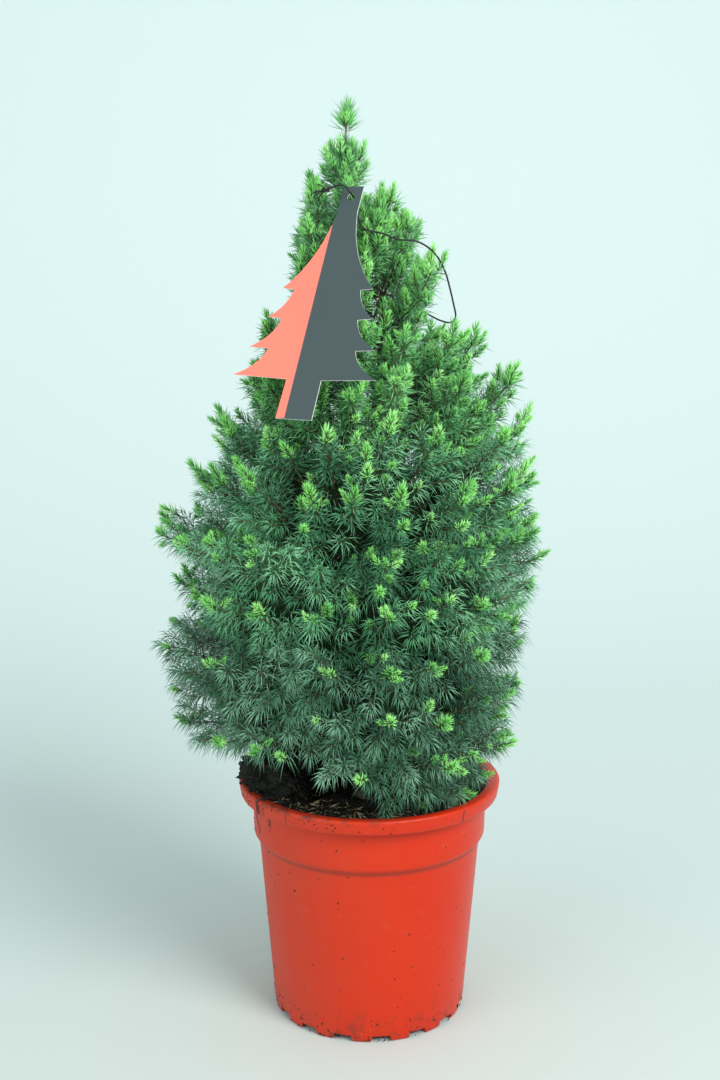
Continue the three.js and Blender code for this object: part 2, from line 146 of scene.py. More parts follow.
def reach(z, az):
    return table(OUTLINE, z) * (1 - table(FULLER, z) * np.cos(az * RAD))


def soil_top(x, y):
    """The compost's height: flat at the trunk, lumpy round it, with a mound at the left."""
    r, az = np.hypot(x, y), np.degrees(np.arctan2(y, x))
    turn = (az - SOIL_MOUND.az + 540) % 360 - 180
    out = smooth(r, SOIL_MOUND.start, SOIL_MOUND.end)
    mound = SOIL_MOUND.rise * np.exp(-(turn / SOIL_MOUND.spread) ** 2) * out
    lumps = 1.6 * np.sin(x * 0.11 + 1) * np.cos(y * 0.13 - 2) + 1.2 * np.sin(x * 0.05 + y * 0.21)
    return SOIL_LEVEL + smooth(r, 16, 24) * (2 + lumps) + mound


def foliage_floor(p, over_soil, over_rim):
    """The least height of foliage: over the compost inside the rim, over the rim outside it."""
    inside = np.hypot(p[..., 0], p[..., 1]) < RIM_INSIDE
    return np.where(inside, soil_top(p[..., 0], p[..., 1]) + over_soil, RIM_TOP + over_rim)


# ---- the space each mass keeps to, by the construction's rule ----

def cell_point(m, u, v, w):
    """A point of a mass's space: u round the trunk and w upright from -1 to 1, v outwards from 0 to 1."""
    u, v, w = np.broadcast_arrays(*(np.asarray(a, float) for a in (u, v, w)))
    k = (w + 1) / 2
    hs = m.low[0] + (m.high[0] - m.low[0]) * k
    rise = m.low[1] + (m.high[1] - m.low[1]) * k
    az = m.az + u * m.half
    whole = reach(hs, az)
    z, (x, y) = hs - rise * whole * (1 - v), polar(v * whole, az * RAD)
    return np.stack([trunk_x(z) + x, y, z], -1)


def parting_height(part, r, az):
    return part[0] - part[1] * (reach(part[0], az) - r)


def in_cell(m, p, slack=0.0):
    """Whether points lie in a mass's space, or out of it by no more than the slack."""
    dx = p[..., 0] - trunk_x(p[..., 2])
    r, az = np.hypot(dx, p[..., 1]), np.degrees(np.arctan2(p[..., 1], dx))
    off = np.abs((az - m.az + 900) % 360 - 180)
    side = r * np.sin(np.minimum(m.half - off, 90) * RAD)
    low = np.maximum(parting_height(m.low, r, az) - slack, foliage_floor(p, 1.5, 0))
    return (side > -slack) & (p[..., 2] > low) & (p[..., 2] < parting_height(m.high, r, az) + slack)


def masses():
    """Every mass but the leader: its tier's sizes, azimuth, lower and upper bound, seed and name."""
    found = []
    for k, tier in enumerate(TIERS):
        for i, az in enumerate(tier["az"]):
            droops = k == DROOP.tier and az == DROOP.az
            own = dict(tier=k, az=az, low=DROOP.low if droops else PARTING[k], high=PARTING[k + 1],
                       seed=1000 + 50 * k + i, name="%d%s" % (k + 1, LETTERS[i]))
            found.append(Sizes(**{**tier, **own}))
    return found


def shoot_plan(m):
    """Foot and tip of a mass's main shoots, in rows over its outer face."""
    rng, plan, rule = seeded(m.seed), [], SHOOT_NET
    for _ in range(CORE_DRAWS):
        rng()
    for row, count in enumerate(m.rows):
        w = rule.high * (2 * row / (len(m.rows) - 1) - 1)
        for i in range(count):
            u = ((i + 0.5) / count * 2 - 1) * rule.wide
            du, dw = (rng() - 0.5) * rule.stray[0], (rng() - 0.5) * rule.stray[1]
            far = rule.reach[0] + rule.reach[1] * rng()
            rng()
            tip_w = min(max(w + dw + m.lift, -rule.edge), rule.edge)
            foot = cell_point(m, u * rule.foot[0], m.core[0], w * rule.foot[1])
            plan.append((foot, cell_point(m, u + du, far, tip_w)))
    return plan


# ---- the tag's own frame ----

def tag_frame():
    """The tag's three directions: to its right, up along it, and out of its face."""
    phi, slope, roll = TAG.az * RAD, TAG.slope * RAD, TAG.roll * RAD
    out = np.array([*polar(math.cos(slope), phi), math.sin(slope)])
    rise = np.array([*polar(-math.sin(slope), phi), math.cos(slope)])
    across, (cos, sin) = np.cross(rise, out), polar(1, roll)
    return across * cos - rise * sin, rise * cos + across * sin, out


TAG_RIGHT, TAG_UP, TAG_OUT = tag_frame()
TAG_TOP = np.array(TAG.top)


def node_points(name):
    """The vertices of a solid of the construction, mm."""
    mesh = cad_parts[name].data
    co = np.empty(len(mesh.vertices) * 3)
    mesh.vertices.foreach_get("co", co)
    world = np.array(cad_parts[name].matrix_world)
    return (co.reshape(-1, 3) @ world[:3, :3].T + world[:3, 3]) / MM


def in_tag(p):
    """Points in the tag's own directions, from its top."""
    d = p - TAG_TOP
    return d @ TAG_RIGHT, d @ TAG_UP, d @ TAG_OUT


TAG_SETTLED = -float(in_tag(node_points("hang_tag"))[2].min())     # how far the tag has settled back


def tag_point(x, y, off):
    """The point x to the right, y up and off before the settled tag's back."""
    x, y, off = np.broadcast_arrays(*(np.asarray(a, float) for a in (x, y, off)))
    return (TAG_TOP + x[..., None] * TAG_RIGHT + y[..., None] * TAG_UP
            + (off[..., None] - TAG_SETTLED) * TAG_OUT)


def curve_at(a, b, c, t):
    """The point at share t of the quadratic curve from a to c, pulled towards b."""
    return (1 - t) ** 2 * a + 2 * t * (1 - t) * b + t ** 2 * c


def tag_side():
    """Half of the tag's outline, from the top down, with the hollow curve that leads to each tip."""
    side = []
    for i, (x, y) in enumerate(TAG_OUTLINE):
        if i not in TAG_TIPS:
            side.append((x, y))
            continue
        x0, y0 = TAG_OUTLINE[i - 1]
        cx, cy = x0 + (x - x0) * TAG_SWEEP.out, y0 + (y - y0) * TAG_SWEEP.down
        for t in np.linspace(0, 1, TAG_SWEEP.steps)[1:]:
            side.append((curve_at(x0, cx, x, t), curve_at(y0, cy, y, t)))
    return side


TAG_SIDE = tag_side()


def tag_half_width(y):
    """Half the tag's width at height y."""
    return np.interp(-np.asarray(y), [-v for _, v in TAG_SIDE], [x for x, _ in TAG_SIDE])


def fouls_tag(base, tip):
    """True for each needle that would pass through the tag or lie before it."""
    x0, y0, o0 = in_tag(base)
    x1, y1, o1 = in_tag(tip)
    o0, o1 = o0 + TAG_SETTLED, o1 + TAG_SETTLED
    span = np.where(np.abs(o1 - o0) < 1e-6, 1e-6, o1 - o0)
    t = np.clip(-o0 / span, 0, 1)
    x, y = x0 + (x1 - x0) * t, y0 + (y1 - y0) * t
    room, foot = TAG_ROOM.aside, TAG_OUTLINE[-1][1]
    over = (y < room) & (y > foot - room) & (np.abs(x) < tag_half_width(y) + room)
    return over & (np.maximum(o0, o1) > -TAG_ROOM.behind)


def has_room(base, tip):
    """True for each needle that keeps off the tag and within the box of the construction."""
    return ~fouls_tag(base, tip) & (tip > CAD_LOW).all(1) & (tip < CAD_HIGH).all(1)


# ---- materials ----

class Nodes:
    """Small helper for building a material's node tree."""

    def __init__(self, name):
        self.mat = bpy.data.materials.new(name)
        self.mat.use_nodes = True
        self.tree = self.mat.node_tree
        self.main = self.tree.nodes["Principled BSDF"]

    def add(self, kind, inputs=(), **attrs):
        node = self.tree.nodes.new(kind)
        for key, value in attrs.items():
            setattr(node, key, value)
        for key, value in dict(inputs).items():
            self.put(node.inputs[key], value)
        return node

    def put(self, socket, value):
        if isinstance(value, bpy.types.NodeSocket):
            self.tree.links.new(value, socket)
        else:
            socket.default_value = value

    def surface(self, color, rough, spec=0.5):
        """Set the shader's colour, roughness and specular level, and return the material."""
        for key, value in (("Base Color", color), ("Roughness", rough), ("Specular IOR Level", spec)):
            self.put(self.main.inputs[key], value)
        return self.mat

    def ramp(self, fac, stops):
        node = self.add("ShaderNodeValToRGB", {"Fac": fac})
        ramp = node.color_ramp
        while len(ramp.elements) < len(stops):
            ramp.elements.new(0.5)
        for element, (pos, color) in zip(ramp.elements, stops):
            element.position = pos
            element.color = (*color, 1)
        return node.outputs["Color"]

    def noise(self, where, scale, detail=4, rough=0.6):
        return self.add("ShaderNodeTexNoise", {"Vector": where, "Scale": scale, "Detail": detail,
                                               "Roughness": rough}).outputs["Fac"]

    def mix(self, fac, a, b):
        """A mix of two colours, each a socket or (r, g, b)."""
        node = self.add("ShaderNodeMix", data_type="RGBA", blend_type="MIX")
        for k, value in ((0, fac), (6, a), (7, b)):
            self.put(node.inputs[k], (*value, 1) if isinstance(value, tuple) else value)
        return node.outputs[2]

    def math(self, op, a, b=0.0):
        node = self.add("ShaderNodeMath", {0: a, 1: b}, operation=op)
        return node.outputs[0]

    def times(self, a, b):
        return self.math("MULTIPLY", a, b)

    def between(self, value, low, high, amount=1.0):
        """0 at low, and the amount at high."""
        return self.add("ShaderNodeMapRange", {"Value": value, "From Min": low, "From Max": high,
                                               "To Max": amount}).outputs["Result"]

    def where(self):
        return self.add("ShaderNodeTexCoord").outputs["Object"]

    def bump(self, height, strength, distance):
        node = self.add("ShaderNodeBump", {"Height": height, "Strength": strength, "Distance": distance})
        self.put(self.main.inputs["Normal"], node.outputs["Normal"])


def plain(name, color, rough=0.5, spec=0.5):
    return Nodes(name).surface((*color, 1), rough, spec)


# ---- meshes ----

def new_object(name, data):
    obj = bpy.data.objects.new(name, data)
    bpy.context.scene.collection.objects.link(obj)
    return obj


def mesh_object(name, points_mm, faces, slots, indices=None, smoothed=True):
    """A mesh from points in mm and an (n, 3) or (n, 4) array of faces, each with its material's index."""
    mesh = bpy.data.meshes.new(name)
    points = np.asarray(points_mm, float).reshape(-1, 3) * MM
    faces = np.asarray(faces, np.int32)
    mesh.vertices.add(len(points))
    mesh.vertices.foreach_set("co", points.ravel())
    mesh.loops.add(faces.size)
    mesh.loops.foreach_set("vertex_index", faces.ravel())
    mesh.polygons.add(len(faces))
    mesh.polygons.foreach_set("loop_start", np.arange(0, faces.size, faces.shape[1], dtype=np.int32))
    if indices is not None:
        mesh.polygons.foreach_set("material_index", np.asarray(indices, np.int32))
    mesh.polygons.foreach_set("use_smooth", np.full(len(faces), smoothed))
    mesh.update(calc_edges=True)
    for mat in slots:
        mesh.materials.append(mat)
    return new_object(name, mesh)


def piece(slot, name, points, faces, mats, nodes=(), **more):
    """A mesh on the only body, with the solids that it stands for; its material slot is not used."""
    obj = mesh_object(name, points, faces, mats, **more)
    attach(obj, "root")
    if nodes:
        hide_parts(*nodes)
    return obj


def joined(parts):
    """Several (points, faces) as one."""
    points, faces, start = [], [], 0
    for some_points, some_faces in parts:
        points.append(some_points)
        faces.append(some_faces + start)
        start += len(some_points)
    return np.concatenate(points), np.concatenate(faces)


def circle(sides):
    return 2 * np.pi * np.arange(sides) / sides


def upright_rings(profile, turn):
    """A profile of (radius, height) turned about the upright axis."""
    r, z = np.array(profile, float).T
    return np.stack([*polar(r[:, None], turn), np.repeat(z[:, None], len(turn), 1)], -1)


def ring_faces(rows, sides, closed=False):
    """Four-sided faces between rings of points; closed joins the last ring to the first."""
    i, j = (a.ravel() for a in np.meshgrid(np.arange(rows if closed else rows - 1), np.arange(sides),
                                           indexing="ij"))
    here, there, jn = i * sides, (i + 1) % rows * sides, (j + 1) % sides
    return np.stack([here + j, here + jn, there + jn, there + j], -1)


def ring_points(centre, radius, p, q, sides):
    """Circles of points round centres, in the plane of the directions p and q."""
    turn = circle(sides)[:, None]
    return centre[..., None, :] + radius[..., None, None] * (
        np.cos(turn) * p[..., None, :] + np.sin(turn) * q[..., None, :])


def square_to(tangent, main):
    """Two directions square to each tangent, turned alike for tangents with the same main direction."""
    hint = np.where(np.abs(main[..., :1]) < 0.8, [1.0, 0, 0], [0, 1.0, 0])
    q = unit(np.cross(tangent, hint))
    return np.cross(q, tangent), q


def tubes(lines, radii, sides):
    """Closed tapered tubes along (n, k, 3) polylines: points and triangles, line by line."""
    n, k, _ = lines.shape
    main = unit(lines[:, -1] - lines[:, 0])
    body = ring_points(lines, radii, *square_to(unit(np.gradient(lines, axis=1)), main[:, None]), sides)
    points = np.concatenate([body.reshape(n, -1, 3), lines[:, :1], lines[:, -1:]], 1)
    tris = []
    for a, b, d, c in ring_faces(k, sides):
        tris += [(a, b, d), (a, d, c)]
    first, last = k * sides, (k - 1) * sides
    for j in range(sides):
        jn = (j + 1) % sides
        tris += [(jn, j, first), (last + j, last + jn, first + 1)]
    faces = np.array(tris)[None] + (np.arange(n) * (k * sides + 2))[:, None, None]
    return points.reshape(-1, 3), faces.reshape(-1, 3)


def bezier(a, b, c, steps):
    return curve_at(a[:, None], b[:, None], c[:, None], np.linspace(0, 1, steps)[None, :, None])


def needle_mesh(base, along, size, radius, bend):
    """Needles as slim three-sided spindles: a root point, a bent middle ring and a tip."""
    hint = np.where(np.abs(along[:, 2:]) < 0.9, [[0, 0, 1.0]], [[1.0, 0, 0]])
    q = unit(np.cross(along, hint))
    middle = base + along * (size * 0.45)[:, None] - bend * 0.25
    ring = ring_points(middle, radius, np.cross(q, along), q, 3)
    tip = base + along * size[:, None] + bend
    points = np.concatenate([base[:, None], ring, tip[:, None]], 1)
    tris = np.array([(0, 2, 1), (0, 3, 2), (0, 1, 3), (1, 2, 4), (2, 3, 4), (3, 1, 4)])
    return points.reshape(-1, 3), (tris[None] + (np.arange(len(base)) * 5)[:, None, None]).reshape(-1, 3)


def ball_points(detail):
    """Unit icosphere vertices and faces."""
    bm = bmesh.new()
    bmesh.ops.create_icosphere(bm, subdivisions=detail, radius=1)
    points = np.array([v.co[:] for v in bm.verts])
    faces = np.array([[v.index for v in f.verts] for f in bm.faces])
    bm.free()
    return points, faces


# ---- growing the foliage ----

# By tier, from the lowest up: spacing of the fine twigs, needle length, how far the twigs turn up, how far
# the needles droop, the first of the old needles' four colours, how far new shoots lean out, and the shares
# of main shoots and of fine twigs that end in new ones
SPACING = [16.0, 16.5, 16.5, 15.5, 15.0, 14.0]
LENGTH = [14.5, 15.0, 15.0, 14.5, 13.5, 13.0]
UPTURN = [-0.15, -0.05, 0.1, 0.35, 0.8, 1.3]
DROOPING = [0.42, 0.42, 0.38, 0.25, 0.1, 0.0]
PALETTE = [0, 0, 4, 4, 8, 8, 8]
NEW_OUTWARD = [1.3, 1.2, 0.9, 0.6, 0.3, 0.1]
NEW_SHARE = [0.6, 0.55, 0.8, 1, 1, 1]
BUD_SHARE = [0.09, 0.11, 0.24, 0.40, 0.5, 0.55]
NEW_COLOURS = 12                     # the first of the new shoots' colours
SHADE_COLOURS = 16                   # the first of the shaded inner needles' colours
HUES = 4                             # colours of each kind
LIT_FROM = -20                       # right of this there are more buds, mm
NEEDLE_RADIUS, NEW_RADIUS = 0.39, 0.5
OLD_ANGLES = (66, 26)                # how far needles stand off their twig, at its foot and its tip
NEW_ANGLES = (52, 12)
STATIONS = 4                         # rings along a fine twig
PIECE = 33000                        # most needles in one piece
# Needles on a twig: the most of it that they cover, the least count, how unevenly they are spaced, turned
# and spread, how far the next twig's spiral is turned, and their least share of the full length and the rest
NEEDLES = Sizes(most=0.92, least=6, uneven=0.8, turned=30, spread=8, next=1.7, size=(0.8, 0.35))
# Main shoots: how much of their rise counts in their heading, how far they stop short, and how far back
# their curve begins, as a share of their length
MAIN = Sizes(level=0.3, short=4, curve=0.45)
# Fine twigs: depths behind a mass's edges; as multiples of the spacing, the distance along these edges and
# between deep twigs, low down and in the upper tiers; the deep twigs' least depth and what chance adds to
# it, and their greatest depth as a share of the reach
TWIGS = Sizes(edges=(12.0, 25.0), along=1.15, deep=1.3, upper=0.8, depth=(24, 16), most=0.6)
# How far a twig's end lies under the outline: at a shoot's tip, between shoots, at random, in the upper
# tiers; then how wide a shoot's bump is, and the share of twigs left out of a hollow
UNDER = Sizes(tip=3, between=3, random=6, upper=9, width=18, thin=0.5)
# Upright side leaders: the first tier that has them, their twigs, how far these spread, the leaders'
# length, how near other twigs keep and how much looser at the right, and how far the leaders stand in from
# the outline and how much more at the left
SPIRES = Sizes(first_tier=4, twigs=13, spread=12.0, long=50.0, near=21.0, nearer=0.7, inset=5.0,
               lopsided=5.0)
CREVICE = [52, 52, 52, 48, 40, 34]   # size of the hollows between the lobes of the foliage
HOLLOW = [26, 30, 30, 28, 24, 20]    # their depth
# At the front left the lowest twigs stop short, so that the compost shows: the height by azimuth
BARE_SOIL = [(190, 234), (225, 243), (248, 236), (264, 219), (276, 204)]
# The leader: its side shoots, its stem's ends and radii, the foot, middle and top of its lower needles, the
# foot and height of its tuft, how far its tip leans right, and the tuft's side shoots
LEADER = Sizes(seed=77, shoots=18, lowest=640, span=21, reach=(0.36, 0.3), rise=13, stem=(640.3, 702),
              girth=(1.7, 0.55), neck=(640.0, 656.0, 678.0), tuft=681.4, tuft_rise=17.5, lean=2.5,
              lean_from=670, sides=(20, 140, 260), side_lean=0.35)


def over_bare_soil(p):
    az = np.degrees(np.arctan2(p[:, 1], p[:, 0] - trunk_x(p[:, 2]))) % 360
    return (az > BARE_SOIL[0][0]) & (az < BARE_SOIL[-1][0]) & (p[:, 2] < table(BARE_SOIL, az))


def lobes(points, tier):
    """Slow bumps and hollows of the foliage, upright in its upper part: 0 on a lobe, 1 in a crevice."""
    stretch = (1, 1, 0.4 if tier >= SPIRES.first_tier else 0.9)
    raw = np.array([noise.noise(Vector(p * stretch / CREVICE[tier] + 7.3)) for p in points])
    return smooth(raw, -0.15, 0.38)


def net(m, spacing, rng):
    """A jittered net of (u, w, 0) over a mass's outer face, every second row shifted."""
    height, spots = m.high[0] - m.low[0], []
    rows = max(3, round(height / spacing))
    for j in range(rows):
        w = -1 + (2 * j + 1) / rows
        whole = float(reach(m.low[0] + height * (w + 1) / 2, m.az))
        count = max(3, round(2 * m.half * RAD * whole / spacing))
        for i in range(count):
            u = -1 + 2 * (i + (0.55 if j % 2 else 0.1) + 0.4 * rng.rand()) / count
            spots.append((u, w + (rng.rand() - 0.5) * 1.2 / rows, 0.0))
    return spots


def edges(m, spacing, rng):
    """Spots (u, w, depth) along the four edges of a mass's outer face, at some depths behind it."""
    height, spots = m.high[0] - m.low[0], []
    for depth in TWIGS.edges:
        for edge in (-0.97, 0.97):
            whole = float(reach(m.high[0] if edge > 0 else m.low[0], m.az)) - depth
            count = max(3, round(2 * m.half * RAD * whole / spacing))
            spots += [(-1 + 2 * (i + rng.rand()) / count, edge, depth) for i in range(count)]
            count = max(2, round(height / spacing))
            spots += [(edge, -1 + 2 * (i + rng.rand()) / count, depth) for i in range(count)]
    return spots


def grow(m):
    """Main shoots and fine twigs of a mass, as quadratic curves from its bough outwards."""
    rng, tier = np.random.RandomState(m.seed), m.tier
    upper = tier >= SPIRES.first_tier
    plan = [(a, b) for a, b in shoot_plan(m) if in_cell(m, a + (b - a) * 0.7, 2) and in_cell(m, b, 2)]
    roots, tips = (np.array(ends) for ends in zip(*plan))
    outward = unit((tips - roots) * (1, 1, MAIN.level))
    ending = unit(outward + [0, 0, UPTURN[tier]])
    tips = tips - ending * MAIN.short
    if upper:
        level = unit(outward * (1, 1, 0))
        tips = tips - level * (SPIRES.inset - SPIRES.lopsided * level[:, :1])
    main = (roots, tips - ending * MAIN.curve * length(tips - roots)[:, None], tips)
    spacing = SPACING[tier]
    spots = np.array(net(m, spacing, rng) + edges(m, spacing * TWIGS.along, rng))
    inner = np.array(net(m, spacing * (TWIGS.upper if upper else TWIGS.deep), rng))
    least, more = TWIGS.depth
    inner[:, 2] = np.minimum(least + more * rng.rand(len(inner)), TWIGS.most * reach(m.low[0], m.az))
    fine = fine_twigs(m, rng, main, ending, spots, 1)
    deep = fine_twigs(m, rng, main, ending, inner, 0)
    if upper:
        fine = tuple(np.concatenate(pair) for pair in zip(fine, spire_twigs(m, rng, main, ending)))
    return Sizes(tier=tier, rng=rng, main=main, ending=ending, fine=fine, deep=deep)


def spire_twigs(m, rng, main, ending):
    """Short twigs set in a spiral round the upright ends of the main shoots."""
    curves = []
    for foot, tip, way in zip(main[0], main[2], ending):
        long = min(SPIRES.long, 0.75 * float(length(tip - foot)))
        side = unit(np.cross(way, [0.3, 0.9, 0.1]))
        other = np.cross(way, side)
        for i in range(SPIRES.twigs):
            share, turn = (i + 0.6) / SPIRES.twigs, (SPIRAL * i + 40 * rng.rand()) * RAD
            start = tip - way * long * (1 - share)
            out = side * math.cos(turn) + other * math.sin(turn)
            spread = SPIRES.spread * (1 - 0.55 * share)
            curves.append((start, start + out * spread * 0.65 + way * spread * 0.2,
                           start + out * spread + way * spread * 0.8))
    curves = np.array(curves)
    curves = curves[in_cell(m, curves[:, 2], 2.0)]
    return curves[:, 0], curves[:, 1], curves[:, 2]


def near_spire(points, tips, rising):
    """Distance from each point to the nearest main shoot's upright end."""
    away = points[:, None] - tips[None]
    along = np.clip(np.einsum("ijk,jk->ij", away, rising), -SPIRES.long, 0)
    return length(away - along[..., None] * rising[None]).min(1)


def fine_twigs(m, rng, main, rising, spots, lobed):
    """Twigs that leave the nearest main shoot and end at the given spots under the mass's outline."""
    tier, roots, tips = m.tier, main[0], main[2]
    upper = tier >= SPIRES.first_tier
    (u, w), depth = np.clip(spots[:, :2].T, -0.98, 0.98), spots[:, 2]
    face = cell_point(m, u, 1, w)
    away = length(face[:, None] - tips[None])
    nearest, dist = away.argmin(1), away.min(1)
    whole = reach(face[:, 2], m.az)
    small = np.clip(whole / 90, 0.45, 1)
    hollow = lobes(face, tier)
    bump = 1 - np.exp(-(dist / UNDER.width) ** 2)
    inward = depth + UNDER.upper * lobed * upper + (
        UNDER.tip + UNDER.between * bump + lobed * HOLLOW[tier] * hollow * bump
        + UNDER.random * rng.rand(len(u))) * small
    ends = cell_point(m, u, 1 - inward / whole, w)
    keep = in_cell(m, ends, 1.0) & (rng.rand(len(u)) > lobed * UNDER.thin * hollow * bump)
    if upper and lobed:
        near = SPIRES.near * (1 + SPIRES.nearer * max(0.0, math.cos(m.az * RAD)))
        keep &= near_spire(ends, tips, rising) < near * (0.8 + 0.4 * rng.rand(len(u)))
    keep &= ~over_bare_soil(ends)
    ends, root, tip = ends[keep], roots[nearest[keep]], tips[nearest[keep]]
    axis, span = unit(tip - root), length(tip - root)
    aside = length(np.cross(ends - root, axis))
    back = np.einsum("ij,ij->i", ends - root, axis) - 0.75 * aside - 9
    starts = root + axis * np.clip(back, 0.1 * span, 0.9 * span)[:, None]
    centre = np.stack([trunk_x(ends[:, 2]), 0 * ends[:, 2], ends[:, 2]], -1)
    ending = unit(unit(ends - centre) + unit(ends - starts) * 0.5 + [0, 0, UPTURN[tier]]
                  + 0.22 * rng.randn(len(ends), 3))
    control = ends - ending * (0.42 * length(ends - starts))[:, None]
    return starts, control, ends


def spray(curves, cover, spacing, full, angles, rng, droop):
    """Needles round the outer part of curves: root, direction, length, and the curve that each is on."""
    a, b, c = curves
    span = length(c - a)
    covered = np.minimum(span * NEEDLES.most, cover)
    count = np.maximum(NEEDLES.least, np.round(covered / spacing)).astype(int)
    index = np.repeat(np.arange(len(a)), count)
    order = np.concatenate([np.arange(n) for n in count])
    share = (order + rng.rand(len(order)) * NEEDLES.uneven) / count[index]
    t = np.clip(1 - (covered / span)[index] * (1 - share), 0, 1)[:, None]
    a, b, c = a[index], b[index], c[index]
    tangent = unit(2 * (1 - t) * (b - a) + 2 * t * (c - b))
    p, q = square_to(tangent, tangent)
    turn = (order * SPIRAL + rng.rand(len(order)) * NEEDLES.turned) * RAD + index * NEEDLES.next
    lean = angles[0] + (angles[1] - angles[0]) * share ** 1.5 + rng.randn(len(order)) * NEEDLES.spread
    cos, sin = np.cos(turn)[:, None], np.sin(turn)[:, None]
    way = np.cos(lean * RAD)[:, None] * tangent + np.sin(lean * RAD)[:, None] * (cos * p + sin * q)
    way[:, 2] -= droop * 0.12
    least, more = NEEDLES.size
    size = full * (1 - 0.3 * share ** 4) * (least + more * rng.rand(len(order)))
    return curve_at(a, b, c, t), unit(way), size, index


class Growth:
    """Collects twigs and needles by tier."""

    def __init__(self):
        self.lines, self.radii = [], []
        self.needles = {k: [] for k in range(len(TIERS) + 1)}

    def line(self, lines, thick, thin):
        self.lines.append(lines)
        self.radii.append(np.repeat(np.linspace(thick, thin, STATIONS)[None], len(lines), 0))

    def twigs(self, curves, thick, thin):
        lines = bezier(*curves, STATIONS)
        self.line(lines[~fouls_tag(lines[:, :-1], lines[:, 1:]).any(1)], thick, thin)

    def old(self, tier, curves, cover, spacing, full, rng, droop, angles=OLD_ANGLES, shaded=False):
        hue = rng.randint(0, HUES, len(curves[0])) + PALETTE[tier]
        if shaded:
            hue = SHADE_COLOURS + rng.randint(0, HUES, len(curves[0]))
        base, way, size, index = spray(curves, cover, spacing, full, angles, rng, droop)
        self.add(tier, base, way, size, hue[index], droop * 0.55, NEEDLE_RADIUS)

    def new(self, tier, foot, way, long, rng, full=9.5, angles=NEW_ANGLES, colours=NEW_COLOURS):
        """New shoots: short soft needles pressed forward round a stem."""
        room = has_room(foot, foot + way * (long + full * 0.6)[:, None])
        foot, way, long = foot[room], way[room], long[room]
        if not len(foot):
            return
        tip = foot + way * long[:, None]
        curves = (foot, (foot + tip) / 2 + rng.randn(len(foot), 3) * 0.5, tip)
        self.line(bezier(*curves, STATIONS), 0.6, 0.4)
        base, way, size, index = spray(curves, np.inf, 0.28, full, angles, rng, 0)
        hue = colours + rng.randint(0, HUES, len(foot))
        self.add(tier, base, way, size * np.clip(long / 14, 0.65, 1)[index], hue[index], -0.05, NEW_RADIUS)

    def add(self, tier, base, way, size, hue, sag, radius):
        """Needles that bend down by a share of their length, where they have room."""
        bend = np.zeros_like(base)
        bend[:, 2] = -size * sag
        room = has_room(base, base + way * size[:, None] + bend)
        girth = np.full(len(base), radius)
        self.needles[tier].append([values[room] for values in (base, way, size, hue, bend, girth)])


def new_growth(growth, g):
    """Main shoots end in an upright new shoot with smaller ones round its foot; some twigs have buds."""
    rng, tier, (roots, _, tips) = g.rng, g.tier, g.main
    lit = rng.rand(len(tips)) < NEW_SHARE[tier]
    ending, outward = g.ending[lit], unit(tips[lit] - roots[lit])
    foot = tips[lit] - ending * 3
    way = unit(ending * 0.4 + outward * NEW_OUTWARD[tier] + [0, 0, 0.6] + 0.15 * rng.randn(len(foot), 3))
    long = (8 + 12 * rng.rand(len(foot)) ** 1.3) * (0.75 if tier < 3 else 1)
    growth.new(tier, foot, way, long, rng)
    for _ in range(3):
        some = rng.rand(len(foot)) < 0.7
        side = unit(rng.randn(len(foot), 3) * (1, 1, 0.5) + ending * 0.8)
        growth.new(tier, (foot + side * 3)[some], unit(side + [0, 0, 0.5])[some],
                   (5 + 5 * rng.rand(len(foot)))[some], rng, 7.0)
    _, control, ends = g.fine
    bud = rng.rand(len(ends)) < BUD_SHARE[tier] * (1 + 0.35 * np.sign(ends[:, 0] - LIT_FROM))
    last = unit(ends - control)
    way = unit(last * (0.7 + 0.6 * NEW_OUTWARD[tier]) + [0, 0, 0.5] + 0.2 * rng.randn(len(ends), 3))
    growth.new(tier, (ends - last * 2)[bud], way[bud], (6 + 9 * rng.rand(len(ends)) ** 1.5)[bud], rng, 7.5)


